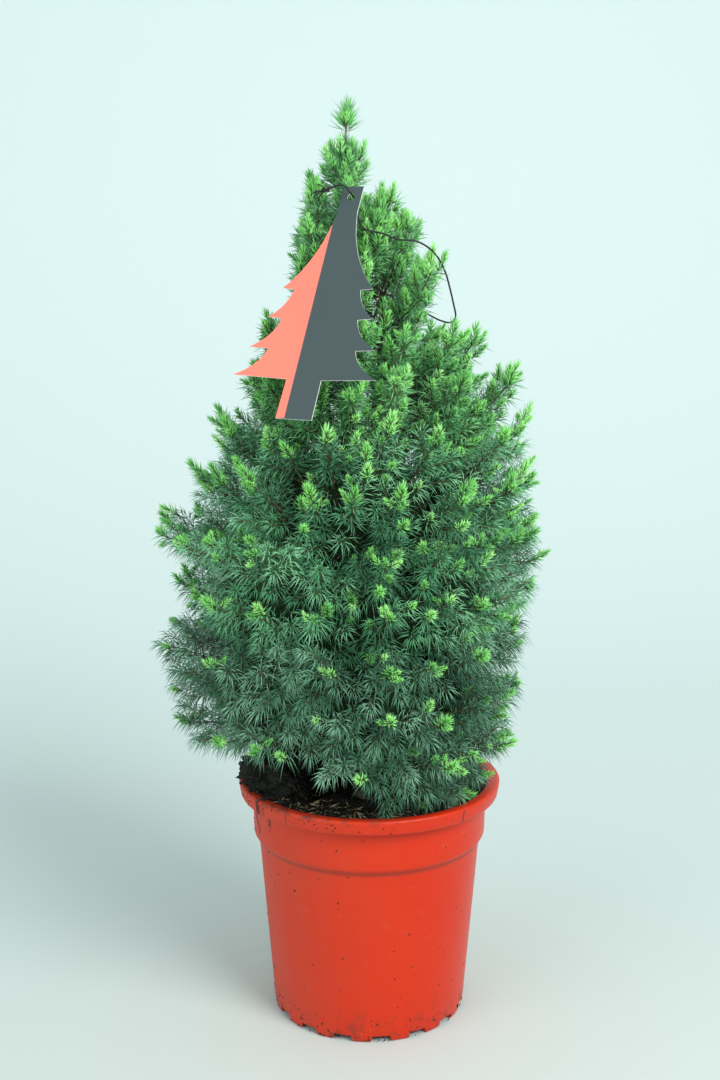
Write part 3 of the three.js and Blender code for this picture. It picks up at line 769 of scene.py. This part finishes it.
def leader(growth):
    """The leader: upright side shoots round its foot, a bare neck, and a tuft at its tip."""
    top = len(TIERS)
    rng, draw = np.random.RandomState(LEADER.seed), seeded(LEADER.seed)
    z = np.linspace(*LEADER.stem, STATIONS)
    lean = LEADER.lean * smooth(z, LEADER.lean_from, LEADER.stem[1])
    growth.line(np.stack([trunk_x(z) + lean, z * 0, z], -1)[None], *LEADER.girth)
    starts, ends = [], []
    for i in range(LEADER.shoots):
        zi = LEADER.lowest + LEADER.span * i / (LEADER.shoots - 1)
        out = float(reach(zi + 14, 0)) * (LEADER.reach[0] + LEADER.reach[1] * draw())
        x, y = polar(out, (130 + SPIRAL * i) * RAD)
        starts.append([float(trunk_x(zi)), 0, zi - 2])
        ends.append([starts[-1][0] + x, y, zi - 2 + LEADER.rise])
    a, c = np.array(starts), np.array(ends)
    curves = (a, (a + c) / 2 + (c - a) * (0.3, 0.3, -0.3), c)
    growth.twigs(curves, 0.9, 0.5)
    growth.old(top, curves, 26, 0.4, 13.5, rng, -0.1, (60, 20))
    neck = tuple(np.array([[float(trunk_x(z)), 0, z]]) for z in LEADER.neck)
    growth.old(top, neck, 40, 0.3, 12.5, rng, -0.1, (60, 26))
    growth.new(top, c - (0, 0, 3), unit((c - a) * (0.5, 0.5, 1.3)), 6 + 6 * rng.rand(len(c)), rng, 8.5)
    foot = np.array([[float(trunk_x(680.0)) + LEADER.lean * 0.4, 0, LEADER.tuft]])
    tip = foot + (LEADER.lean * 0.5, 0, LEADER.tuft_rise)
    growth.old(top, (foot, (foot + tip) / 2, tip), np.inf, 0.26, 15.5, rng, -0.1, (62, 14))
    hues = NEW_COLOURS - 1           # the palest old green, and all but one of the new ones
    growth.new(top, foot + (0, 0, 4), unit(tip - foot), np.array([13.5]), rng, 15.0, (56, 8), hues)
    for az in LEADER.sides:
        way = unit(np.array([[*polar(LEADER.side_lean, az * RAD), 1.0]]))
        growth.new(top, foot + (0, 0, 5), way, np.array([9.0]), rng, 13.0, (46, 12), hues)


def needle_slots():
    """Old needles from blue-green low down to fresh green high up, then new ones, and shaded ones whose
    darker greens are painted shade, with one dead-needle brown.
    """
    blue = [(0.072, 0.212, 0.118), (0.120, 0.310, 0.180), (0.038, 0.140, 0.075), (0.200, 0.430, 0.275)]
    deep = [(0.080, 0.300, 0.138), (0.135, 0.430, 0.205), (0.042, 0.178, 0.082), (0.220, 0.545, 0.290)]
    fresh = [(0.098, 0.365, 0.122), (0.155, 0.470, 0.170), (0.058, 0.250, 0.080), (0.220, 0.550, 0.225)]
    new = [(0.255, 0.700, 0.170), (0.200, 0.600, 0.140), (0.350, 0.790, 0.240), (0.160, 0.510, 0.125)]
    # painted shade: darker copies of the greens for the deep inner needles; the third is the brown of dead
    # needles
    shade = [(0.022, 0.070, 0.034), (0.034, 0.100, 0.048), (0.050, 0.048, 0.022), (0.016, 0.045, 0.022)]
    kinds = (("old", blue + deep + fresh, 0.34, 0.55), ("new", new, 0.45, 0.4), ("shade", shade, 0.6, 0.3))
    return [plain("needle_%s_%d" % (kind, i), color, rough, spec)
            for kind, colors, rough, spec in kinds for i, color in enumerate(colors)]


def build_foliage():
    growth = Growth()
    for m in masses():
        g, tier = grow(m), m.tier
        rng, droop, full = g.rng, DROOPING[tier], LENGTH[tier]
        growth.twigs(g.main, 1.1, 0.45)
        growth.twigs(g.fine, 0.5, 0.28)
        growth.twigs(g.deep, 0.5, 0.35)
        growth.old(tier, g.main, 38, 0.6, full, rng, droop)
        growth.old(tier, g.fine, 32, 0.68, full, rng, droop)
        growth.old(tier, g.deep, 24, 1.5, full, rng, droop, shaded=True)
        new_growth(growth, g)
    leader(growth)
    slots = needle_slots()
    names = [["foliage_" + m.name for m in masses() if m.tier == k] for k in range(len(TIERS))]
    names.append(["foliage_leader"])
    for k, groups in growth.needles.items():
        needles = [np.concatenate(x) for x in zip(*groups)]
        for part, start in enumerate(range(0, len(needles[0]), PIECE)):
            base, way, size, hue, bend, girth = (values[start:start + PIECE] for values in needles)
            points, faces = needle_mesh(base, way, size, girth, bend)
            piece("needles", "needles_%d_%d" % (k + 1, part + 1), points, faces, slots, names[k],
                  indices=np.repeat(hue, 6))
    twigs = tubes(np.concatenate(growth.lines), np.concatenate(growth.radii), 3)
    piece("bark", "twigs", *twigs, [plain("twig_bark", (0.105, 0.090, 0.042), 0.75, 0.3)])


def build_shade():
    """The dark heart of each mass, where old bare twigs and dead needles fill the space: a near-black body
    that is painted shade deep in the foliage.
    """
    ball, faces = ball_points(4)
    squared = np.sign(ball) * np.abs(ball) ** 0.5
    hearts = []
    for m in masses():
        if m.tier >= SPIRES.first_tier:
            continue
        bumps = np.array([noise.fractal(Vector(p * 2.4 + m.seed), 0.8, 2.0, 4) for p in ball])
        fill = 0.93 + 0.05 * bumps
        v = m.core[0] - 0.10 + squared[:, 0] * (m.core[1] - 0.06) * (1 + 0.3 * bumps)
        points = cell_point(m, squared[:, 1] * fill, v, squared[:, 2] * fill)
        points[:, 2] = np.maximum(points[:, 2], foliage_floor(points, 4, 1))
        points[over_bare_soil(points - (0, 0, 12)), :2] *= 0.5
        hearts.append((points, faces[:, [0, 2, 1]]))
    # painted shade: a near-black green for the heart, darker than any lit needle
    dark = plain("needle_dead_and_shade", (0.011, 0.024, 0.011), 0.95, 0.05)
    piece("needles", "dead_needles_and_shade", *joined(hearts), [dark], smoothed=False)


# ---- trunk and boughs ----

def bark_limb(line, radii, sides, relief):
    """One limb's tube with ridged bark pushed out of its surface."""
    points, faces = tubes(line[None], radii[None], sides)
    for n in range(len(line) * sides):
        height = noise.fractal(Vector(points[n] * (0.5, 0.5, 0.16)), 0.9, 2.1, 4)
        points[n] += unit(points[n] - line[n // sides]) * relief * height
    return points, faces


def build_wood():
    """The trunk, and a bough from it into each mass."""
    foot, top = TRUNK[0][0], TRUNK[-1][0]
    z = np.concatenate([np.linspace(foot, 260, 120), np.linspace(261, top, 200)])
    line = np.stack([trunk_x(z), 0 * z, z], -1)
    points, faces = bark_limb(line, table(TRUNK, z) * 0.98, 40, 0.8)
    points[:, 2] = np.maximum(points[:, 2], foot - 0.1)
    piece("bark", "trunk_bark", points, faces, [bark_material()], ["trunk"])
    limbs, steps = [], 26
    for m in masses():
        end = m.core[0] - m.core[1] + 0.12
        a, b = cell_point(m, 0, 0.01, BOUGH_BASE), cell_point(m, 0, end, BOUGH_BASE)
        line = a + (b - a) * np.linspace(0, 1, steps)[:, None]
        radius = 0.42 * float(table(TRUNK, a[2])) + 0.6
        limbs.append(bark_limb(line, np.linspace(radius, radius * 0.6, steps), 12, 0.35))
    names = ["bough_" + m.name for m in masses()]
    piece("bark", "bough_bark", *joined(limbs), [bark_material()], names)


def bark_material():
    n = Nodes("bark")
    fine = n.noise(n.where(), 900, 5)
    n.bump(fine, 0.6, 0.001)
    stops = [(0.3, (0.030, 0.020, 0.013)), (0.55, (0.085, 0.056, 0.036)), (0.75, (0.19, 0.145, 0.105))]
    return n.surface(n.ramp(fine, stops), 0.85)


# ---- pot ----

POT_PROFILE = [
    (0, 0.05), (60, 0.05), (74, 0.05), (75.6, 0.5), (76.4, 1.6), (76.9, 6), (78.5, 25), (81.4, 60),
    (84.7, 100), (87.2, 131), (87.9, 138.5), (88.4, 140.6), (89.6, 142.4), (91.0, 144.2), (91.8, 145.6),
    (92.1, 147.4), (92.4, 158), (92.75, 172), (93.2, 175.6), (94.4, 176.6), (100.6, 176.9), (101.7, 177.3),
    (102.2, 178.2), (102.9, 182), (103.5, 185.6), (103.6, 187.0), (103.0, 188.1), (101.8, 188.55),
    (98.6, 188.4), (95.6, 187.9), (93.6, 186.8), (92.2, 184.8), (91.5, 181), (91.0, 172), (90.3, 147.5),
    (88.6, 143.6), (86.3, 140.6), (81, 80), (75.6, 6), (74.8, 3.2), (0, 3.1)]
POT_OUTSIDE = slice(4, 25)           # its rows from the foot to the rim
POT_SIDES = 384
# Drainage notches: inner is the radius where they begin, first the share of their pitch by which they are
# turned, and soft half the width of their slanting sides
NOTCH = Sizes(count=16, width=15.0, height=5.0, inner=67.0, first=0.22, soft=0.6)
RIM_FIBRE = [(88, 186), (93, 188.6), (98, 189.6), (102, 189.5), (104.3, 188), (104.8, 185), (104.7, 181),
             (104.2, 176), (103.2, 171), (102.3, 166), (101.8, 161)]       # radius and height, mm
RIM_FIBRE_AZ = 213.5
DIRT_BITS, CRUMBS, LITTER = 430, 1500, 520        # how many bits of soil, crumbs and fallen needles
DRIPS = [(213, 0.9, 189, 160), (217, 0.3, 188, 172), (203, 0.4, 187, 160), (231, 0.2, 186, 170),
         (311, 0.2, 186, 168)]       # azimuth, width, top and foot of each drip of soil, mm


def build_pot():
    """The pot, with its drainage notches cut upwards into its foot."""
    turn, (r, z) = circle(POT_SIDES), np.array(POT_PROFILE).T
    points, pitch = upright_rings(POT_PROFILE, turn), 360 / NOTCH.count
    off = np.abs((np.degrees(turn) - NOTCH.first * pitch + pitch / 2) % pitch - pitch / 2) * RAD * 76
    half, soft = NOTCH.width / 2, NOTCH.soft
    lift = NOTCH.height * smooth(off, half + soft, half - soft)
    low = (r > NOTCH.inner) & (z < NOTCH.height + 0.5)
    points[low, :, 2] = np.maximum(points[low, :, 2], lift[None] + 0.05)
    faces = ring_faces(len(POT_PROFILE), POT_SIDES)
    pot = piece("pot_plastic", "pot_body", points, faces, [pot_material()], ["pot"])
    bm = bmesh.new()
    bm.from_mesh(pot.data)
    bmesh.ops.remove_doubles(bm, verts=bm.verts, dist=1e-6)
    bm.to_mesh(pot.data)
    bm.free()


def build_rim_fibre():
    """A dry fibre of the compost that hangs over the rim at the left."""
    steps = np.linspace(0, len(RIM_FIBRE) - 1, 40)
    r, z = (np.interp(steps, range(len(RIM_FIBRE)), column) for column in zip(*RIM_FIBRE))
    turn = (RIM_FIBRE_AZ + 0.35 * np.sin(steps * 2.3) + 0.2 * np.sin(steps * 5.1)) * RAD
    line = np.stack([*polar(r, turn), z], -1)
    fibre = tubes(line[None], np.linspace(0.55, 0.3, len(line))[None], 5)
    piece("compost", "rim_fibre", *fibre, [plain("fibre", (0.085, 0.045, 0.030), 0.8, 0.2)])


def build_pot_dirt():
    """Bits of compost that stick to the pot, thickest at its foot, under its rim and down the drip."""
    rng, bits = np.random.RandomState(11), []
    r, z_of_r = np.array(POT_PROFILE[POT_OUTSIDE]).T
    ball, faces = ball_points(1)
    for i in range(DIRT_BITS):
        az, z, size = 360 * rng.rand(), 14 + 160 * rng.rand(), 0.3 + 0.45 * rng.rand() ** 2
        if i % 5 < 2:
            z = 1.5 + 16 * rng.rand() ** 2
            size *= 1.25
        elif i % 5 == 2:
            az, z = 205 + 55 * rng.randn(), 177 + 9 * rng.rand()
        elif i % 15 == 3:
            az, z = 213 + 1.2 * rng.randn(), 158 + 28 * rng.rand()
        radius = float(np.interp(z, z_of_r, r))
        x, y, up = (ball * (1 + 0.3 * rng.randn(len(ball), 1)) * size * (0.6, 1, 1.3)).T
        c, s = polar(1, az * RAD)
        bits.append((np.stack([(x + radius) * c - y * s, (x + radius) * s + y * c, up + z], -1), faces))
    piece("compost", "pot_dirt", *joined(bits), [soil_material()], smoothed=False)


def soil_marks_and_shade(n, where, x, y, z):
    """Soil on the pot's foot and rim and in the drips below the rim, and painted shade on the step in its
    wall.
    """
    between, times = n.between, n.times
    foot = times(between(z, 0.034, 0.002), between(n.noise(where, 110, 6, 0.7), 0.52, 0.62, 0.6))
    rim = times(times(between(z, 0.1835, 0.1875), between(x, 0.06, -0.05)),
                between(n.noise(where, 130, 5), 0.46, 0.60, 0.75))
    # painted shade: the sloping step in the wall darkened with the soil's colour
    painted_step_shade = times(between(z, 0.1385, 0.1405), between(z, 0.1450, 0.1425, 0.35))
    soil_and_shade = n.math("MAXIMUM", n.math("MAXIMUM", foot, rim), painted_step_shade)
    turn = n.math("ARCTAN2", y, x)
    for az, wide, top, low in DRIPS:
        off = n.math("ABSOLUTE", n.math("SUBTRACT", turn, (az - 360) * RAD))
        wavy = n.math("ADD", wide / 95, times(n.noise(where, 120, 3), 0.02))
        line = between(n.math("SUBTRACT", wavy, off), 0.0, 0.012)
        fade = times(between(z, low * MM, (low + 12) * MM), between(z, (top + 3) * MM, top * MM))
        soil_and_shade = n.math("MAXIMUM", soil_and_shade, times(times(line, fade), 0.95))
    return soil_and_shade


def pot_material():
    """Glossy moulded plastic, its left side painted darker and duller in streaks as shade and a dusty film,
    with scuffs, soil specks, drips, a dirty foot and painted shade on the step in its wall.
    """
    n = Nodes("pot_plastic")
    where, between, times = n.where(), n.between, n.times
    parts = n.add("ShaderNodeSeparateXYZ", {"Vector": where})
    x, y, z = (parts.outputs[k] for k in "XYZ")

    def specks(scale, patch, level, gain):
        cells = n.add("ShaderNodeTexVoronoi", {"Vector": where, "Scale": scale})
        size = times(n.math("SUBTRACT", n.noise(where, patch, 3), level), gain)
        size = n.math("ADD", size, between(z, 0.05, 0.0, 0.05))
        return n.math("LESS_THAN", cells.outputs["Distance"], size)

    def stretched(scale, rotation=(0, 0, 0)):
        return n.add("ShaderNodeMapping", {"Vector": where, "Scale": scale, "Rotation": rotation}).outputs[0]

    color = n.mix(times(n.noise(where, 14, 5), 0.6), (0.53, 0.016, 0.001), (0.59, 0.040, 0.005))
    streak = n.ramp(n.noise(stretched((1, 1, 0.1)), 60, 4), [(0.35, (0.35,) * 3), (0.7, (1,) * 3)])
    # painted shade with a dusty film: the left side darker and duller, in streaks
    dust_and_shade = times(between(x, 0.03, -0.10, 0.42), streak)
    scuff = between(n.noise(stretched((1, 1, 2.4), (0.3, 0.2, 0)), 48, 6, 0.75), 0.60, 0.72, 0.22)
    pale, dots, fine = specks(170, 40, 0.52, 0.35), specks(105, 60, 0.475, 0.62), specks(310, 45, 0.48, 0.5)
    for share, over in ((dust_and_shade, (0.33, 0.080, 0.042)), (scuff, (0.66, 0.15, 0.09)),
                        (times(pale, 0.5), (0.80, 0.22, 0.15)), (times(fine, 0.55), (0.19, 0.020, 0.010)),
                        (times(dots, 0.8), (0.085, 0.020, 0.012))):
        color = n.mix(share, color, over)
    soil_and_shade = soil_marks_and_shade(n, where, x, y, z)
    n.bump(n.math("ADD", times(n.noise(where, 180, 3), 0.3), times(dots, 0.8)), 0.10, 0.0006)
    rough = n.math("ADD", 0.36, times(n.math("MAXIMUM", dust_and_shade, soil_and_shade), 0.45))
    # the soil's colour on the soil marks, and as painted shade on the step
    return n.surface(n.mix(soil_and_shade, color, (0.075, 0.034, 0.022)), rough, 0.27)


# ---- compost ----

SOIL_SIDES = 220
SOIL_WALL = [(90.3, 160), (85.6, 140), (74.5, 3.4), (0, 3.4)]     # radius and height, down inside the pot
CRUST = 2.3                          # height of the small clods


def crust(x, y):
    return CRUST * noise.fractal(Vector((x * 0.16, y * 0.16, 3.1)), 0.75, 2.2, 6)


def soil_height(x, y):
    return float(soil_top(x, y)) + crust(x, y)


def build_soil():
    """The compost's body: its rough top, and its wall inside the pot."""
    radius, turn = np.concatenate([[0.0], np.linspace(2, 90.4, 84)]), circle(SOIL_SIDES)
    x, y = polar(radius[:, None], turn)
    rough = np.array([crust(a, b) for a, b in zip(x.ravel(), y.ravel())]).reshape(x.shape)
    z = soil_top(x, y) + rough * smooth(np.hypot(x, y), 17, 30)
    points = np.concatenate([np.stack([x, y, z], -1), upright_rings(SOIL_WALL, turn)])
    faces = ring_faces(len(points), SOIL_SIDES)[:, [0, 3, 2, 1]]
    piece("compost", "compost", points, faces, [soil_material()], ["soil"])


def build_heap():
    """The heap of compost on the left, which has spilled on to the rim."""
    ball, faces = ball_points(6)
    centre, size = np.array([-73.0, 3.0, 185.5]), np.array([30.0, 40.0, 15.5])
    lumps = np.array([noise.fractal(Vector(p * size * 0.085 + 4.2), 0.6, 2.1, 8) for p in ball])
    squared = np.sign(ball) * np.abs(ball) ** 0.8
    points = centre + squared * size * (1 + 0.2 * lumps)[:, None]
    over = np.hypot(points[:, 0], points[:, 1]) > 89
    points[over, 2] = np.maximum(points[over, 2], 188.4)
    piece("compost", "compost_heap", points, faces, [soil_material()])


def build_crumbs(rng):
    """Loose crumbs of compost, thickest on the mound at the left and on the rim beside it."""
    (ball, faces), bits = ball_points(1), []
    for i in range(CRUMBS):
        mound = i % 5 < 3
        az = (182 + rng.randn() * 24 if mound else rng.rand() * 360) * RAD
        r = 50 + 41 * rng.rand() ** 0.6 if mound else 24 + 64 * rng.rand() ** 0.7
        size = 0.6 + 2.4 * rng.rand() ** 3
        rim = mound and rng.rand() < 0.2
        if rim:
            r, size = 92 + 9 * rng.rand(), 0.5 + 1.6 * rng.rand() ** 2
        x, y = polar(r, az)
        z = 188.5 + size * 0.6 if rim else soil_height(x, y) + size * 0.2
        bits.append((ball * (1 + 0.25 * rng.randn(len(ball), 1)) * size * (1, 1, 0.8) + (x, y, z), faces))
    piece("compost", "compost_crumbs", *joined(bits), [soil_material()], smoothed=False)


def build_litter(rng):
    """Dry fallen needles and bits of twig on the compost."""
    n = LITTER
    az = np.where(rng.rand(n) < 0.6, 232 + 30 * rng.randn(n), 360 * rng.rand(n)) * RAD
    r = 36 + 54 * rng.rand(n) ** 0.6
    x, y = polar(r, az)
    base = np.stack([x, y, [soil_height(*p) + 0.7 for p in zip(x, y)]], -1)
    way, size = unit(rng.randn(n, 3) * (1, 1, 0.16)), 7 + 7 * rng.rand(n)
    points, faces = needle_mesh(base, way, size, np.full(n, 0.5), rng.randn(n, 3) * 0.6)
    keep = np.hypot(points[:, 0], points[:, 1]).reshape(n, 5).max(1) < 92
    hue = rng.randint(0, 3, n)[keep]
    colors = dict(dry=(0.40, 0.28, 0.15), bleached=(0.60, 0.50, 0.34), faded=(0.20, 0.22, 0.10))
    slots = [plain("needle_" + kind, color, 0.7, 0.2) for kind, color in colors.items()]
    points = points.reshape(n, 5, 3)[keep]
    piece("needles", "needle_litter", points, faces[:len(hue) * 6], slots, indices=np.repeat(hue, 6))


def soil_material():
    n = Nodes("compost")
    grain = n.noise(n.where(), 420, 6, 0.7)
    n.bump(grain, 0.9, 0.002)
    stops = [(0.3, (0.008, 0.009, 0.008)), (0.6, (0.026, 0.028, 0.022)), (0.8, (0.09, 0.082, 0.062))]
    return n.surface(n.ramp(grain, stops), 0.95, 0.25)


# ---- hang tag and elastic ----

TAG_SPLIT = [(-9.2, -33), (-7.3, -184.5)]         # the line between its two colours, from its top


def inside_ring(ring, x, y):
    """Whether a point lies inside a closed outline."""
    hit = False
    for (x0, y0), (x1, y1) in zip(ring, ring[1:] + ring[:1]):
        if (y0 > y) != (y1 > y) and x < x0 + (y - y0) * (x1 - x0) / (y1 - y0):
            hit = not hit
    return hit


def tag_triangles():
    """The flat tag's points and triangles, open at its hole and parted at its colours' edge."""
    outline = TAG_SIDE + [(-x, y) for x, y in reversed(TAG_SIDE)]
    radius, hole_y = TAG_HOLE.radius, TAG_HOLE.y
    hole = [(x, hole_y + y) for x, y in zip(*polar(radius, circle(24)))]
    inner = [(x, y) for y in np.arange(-182, -12, 6.0) for x in np.arange(-50, 51, 6.0)
             if abs(x) < min(tag_half_width(y - 2), tag_half_width(y + 2)) - 3]
    split = list(zip(*(np.linspace(a, b, 12) for a, b in zip(*TAG_SPLIT))))
    coords, edges, start = outline + hole + inner + split, [], 0
    for line, ends in ((outline, 0), (hole, 0), (inner, None), (split, 1)):
        if ends is not None:
            edges += [(start + i, start + (i + 1) % len(line)) for i in range(len(line) - ends)]
        start += len(line)
    verts, _, tris, *_ = delaunay_2d_cdt([Vector(p) for p in coords], edges, [], 0, 1e-5)
    flat, kept = np.array([v[:] for v in verts]), []
    for t in tris:
        x, y = flat[list(t)].mean(0)
        if math.hypot(x, y - hole_y) >= radius * 0.98 and inside_ring(outline, x, y):
            kept.append(t)
    return flat, np.array(kept)


def build_tag():
    """A two-tone card, curled at its wide end: a face, a back and an edge."""
    flat, tris = tag_triangles()
    x, y = flat.T
    middle = flat[tris].mean(1)
    (x0, y0), (x1, y1) = TAG_SPLIT
    tone = np.where(middle[:, 0] < np.interp(-middle[:, 1], (-y0, -y1), (x0, x1)), 0, 1)
    curl = np.maximum(2.2 * (x / 55) ** 2 * smooth(-y, 30, 150) - 0.35, 0)
    points = np.concatenate([tag_point(x, y, TAG.thickness * side + curl) for side in (0.92, 0.08)])
    sides = [(a, b) for t in tris.tolist() for a, b in zip(t, t[1:] + t[:1])]
    known, n = set(sides), len(flat)
    rim = [(a, b) for a, b in sides if (b, a) not in known]
    edge = [f for a, b in rim for f in ((b, a, a + n), (b, a + n, b + n))]
    faces = np.concatenate([tris, tris[:, [0, 2, 1]] + n, edge])
    slots = np.concatenate([tone, np.full(len(tris), 2), np.full(len(edge), 3)])
    mats = [tag_face("tag_salmon", (0.90, 0.20, 0.14)), tag_face("tag_dark", (0.045, 0.068, 0.072)),
            plain("tag_back", (0.72, 0.74, 0.72), 0.6), plain("tag_edge", (0.85, 0.85, 0.83), 0.6)]
    piece("tag_card", "hang_tag_card", points, faces, mats, ["hang_tag"], indices=slots, smoothed=False)


def tag_face(name, color):
    n = Nodes(name)
    where = n.where()
    n.bump(n.noise(where, 500, 2), 0.05, 0.0004)
    faded = tuple(c * 0.72 for c in color)
    return n.surface(n.mix(n.times(n.noise(where, 25, 4), 0.35), color, faded), 0.38)


KNOT = (-33, -32, 639)               # where the elastic's two ends are tied
# The elastic's path in the tag's hole, in the tag's own frame, then round the plant, mm
LOOP_HELD = [(-0.4, 1.8, 4.6), (0, 1.6, 0.4), (0.3, 1.4, -4)]
LOOP_FREE = [(-7, -46, 612), (8, -53, 607), (18, -56, 603), (30, -56, 602), (39, -53, 598), (47, -47, 591),
             (53, -41, 581), (57, -32, 571), (61, -22, 559), (64, -10, 549), (62, 4, 545), (56, 22, 546),
             (37, 49, 556), (2, 62, 568), (-27, 53, 586), (-43, 34, 606), (-46, 12, 627), (-43, -14, 638)]


def loop_line(steps):
    """The elastic's path: a closed centripetal curve through the construction's points."""
    held = [tag_point(x, TAG_HOLE.y + y, off) for x, y, off in LOOP_HELD]
    knots = np.array([*held, *LOOP_FREE, KNOT, tag_point(-7, -2, 6)])
    n, points = len(knots), []
    for i in range(n):
        p0, p1, p2, p3 = knots[i - 1], knots[i], knots[(i + 1) % n], knots[(i + 2) % n]
        d0, d1, d2 = (length(b - a) ** 0.5 for a, b in ((p0, p1), (p1, p2), (p2, p3)))
        t1 = ((p1 - p0) / d0 - (p2 - p0) / (d0 + d1) + (p2 - p1) / d1) * d1
        t2 = ((p2 - p1) / d1 - (p3 - p1) / (d1 + d2) + (p3 - p2) / d2) * d1
        a, b = 2 * p1 - 2 * p2 + t1 + t2, -3 * p1 + 3 * p2 - 2 * t1 - t2
        points += [a * t ** 3 + b * t ** 2 + t1 * t + p1 for t in np.linspace(0, 1, steps, endpoint=False)]
    return np.array(points)


def closed_tube(line, radius, sides):
    """A tube round a closed line."""
    tangent = unit(np.roll(line, -1, 0) - np.roll(line, 1, 0))
    p = unit(np.cross(tangent, [0.1, 0.2, 1.0]))
    points = ring_points(line, radius, p, np.cross(tangent, p), sides)
    return points, ring_faces(len(line), sides, closed=True)


def elastic(name, rough=0.6, spec=0.4):
    return [plain(name, (0.012, 0.012, 0.014), rough, spec)]


def build_loop():
    """The elastic, the knot in it, and its frayed ends."""
    line = loop_line(40)
    radius = 0.66 + 0.04 * np.sin(np.arange(len(line)) * 1.9)
    piece("elastic", "elastic_loop", *closed_tube(line, radius, 10), elastic("elastic", 0.55), ["tag_loop"])
    t = circle(60)
    turns = [np.sin(t) + 2 * np.sin(2 * t), np.cos(t) - 2 * np.cos(2 * t), -1.2 * np.sin(3 * t)]
    tied = closed_tube(np.stack(turns, -1) * 0.85 + KNOT, np.full(len(t), 0.6), 6)
    piece("elastic", "elastic_knot", *tied, elastic("elastic_tie"))
    foot = np.array([KNOT] * 4, float)
    middle = foot + [(-4, 2, 0), (-3, 3, -1), (4, -2, 1), (-2, -2, 3)]
    end = foot + [(-9, 4, -5), (-6, 6, -7), (10, -3, 3.5), (-6, -1, 4)]
    loose = tubes(bezier(foot, middle, end, 7), np.full((4, 7), 0.5), 6)
    piece("elastic", "elastic_ends", *loose, elastic("elastic_end", 0.7, 0.3))


# ---- surroundings, light and camera ----

WALL, BEND, WIDE, NEAR, HIGH = 2.6, 1.7, 6.0, -5.0, 5.0     # m: the wall's place, its foot's radius, extents
WORLD = Sizes(color=(0.90, 0.98, 0.98, 1), strength=0.75)
# Lights: place and aim, m, diameter, m, power, W, and colour
LIGHTS = dict(key=((1.2, -1.5, 1.6), (0, 0, 0.32), 1.3, 52, (1.0, 0.99, 0.97)),
              fill=((-1.5, -1.3, 0.75), (0, 0, 0.3), 1.6, 16, (0.95, 0.99, 1.0)))
CAMERA = Sizes(place=(-0.0359, -1.0203, 0.5484), down=9.47, right=1.60, lens=44.44, sensor=36)


def area_light(name, spot, aim, size, power, color):
    data = bpy.data.lights.new(name, "AREA")
    data.shape, data.size, data.energy, data.color = "DISK", size, power, color
    obj = new_object(name, data)
    obj.location = spot
    obj.rotation_euler = (Vector(aim) - Vector(spot)).to_track_quat("-Z", "Y").to_euler()
    obj.visible_camera = False


def paper():
    """Pale paper, lighter towards the wall, where less of the light falls."""
    n = Nodes("backdrop")
    y = n.add("ShaderNodeSeparateXYZ", {"Vector": n.where()}).outputs["Y"]
    stops = [(0.0, (0.55, 0.62, 0.60)), (0.35, (0.66, 0.76, 0.75)), (1.0, (0.80, 0.93, 0.92))]
    return n.surface(n.ramp(n.math("DIVIDE", y, WALL), stops), 0.9, 0.1)


def backdrop():
    """A pale floor that sweeps up into a wall far behind the plant."""
    up, along = polar(BEND, np.linspace(0, np.pi / 2, 33))
    profile = [(NEAR, 0.0), *zip(WALL - BEND + along, BEND - up), (WALL, HIGH)]
    points = [(x, y, z) for y, z in profile for x in (-WIDE, WIDE)]
    faces = [(2 * i, 2 * i + 1, 2 * i + 3, 2 * i + 2) for i in range(len(profile) - 1)]
    mesh_object("backdrop", np.array(points) / MM, faces, [paper()])


def surroundings():
    backdrop()
    world = bpy.data.worlds.new("soft")
    bpy.context.scene.world = world
    world.use_nodes = True
    back = world.node_tree.nodes["Background"]
    back.inputs["Color"].default_value = WORLD.color
    back.inputs["Strength"].default_value = WORLD.strength
    for name, light in LIGHTS.items():
        area_light(name, *light)
    bpy.context.scene.view_settings.view_transform = "Standard"


def camera():
    data = bpy.data.cameras.new("camera")
    data.lens, data.sensor_width = CAMERA.lens, CAMERA.sensor
    obj = new_object("camera", data)
    obj.location = CAMERA.place
    obj.rotation_euler = ((90 - CAMERA.down) * RAD, 0, -CAMERA.right * RAD)
    bpy.context.scene.camera = obj


def build_all():
    camera()
    surroundings()
    build_pot()
    build_pot_dirt()
    build_rim_fibre()
    build_soil()
    build_heap()
    loose = np.random.RandomState(5)
    build_crumbs(loose)
    build_litter(loose)
    build_wood()
    build_foliage()
    build_shade()
    build_tag()
    build_loop()


build_all()
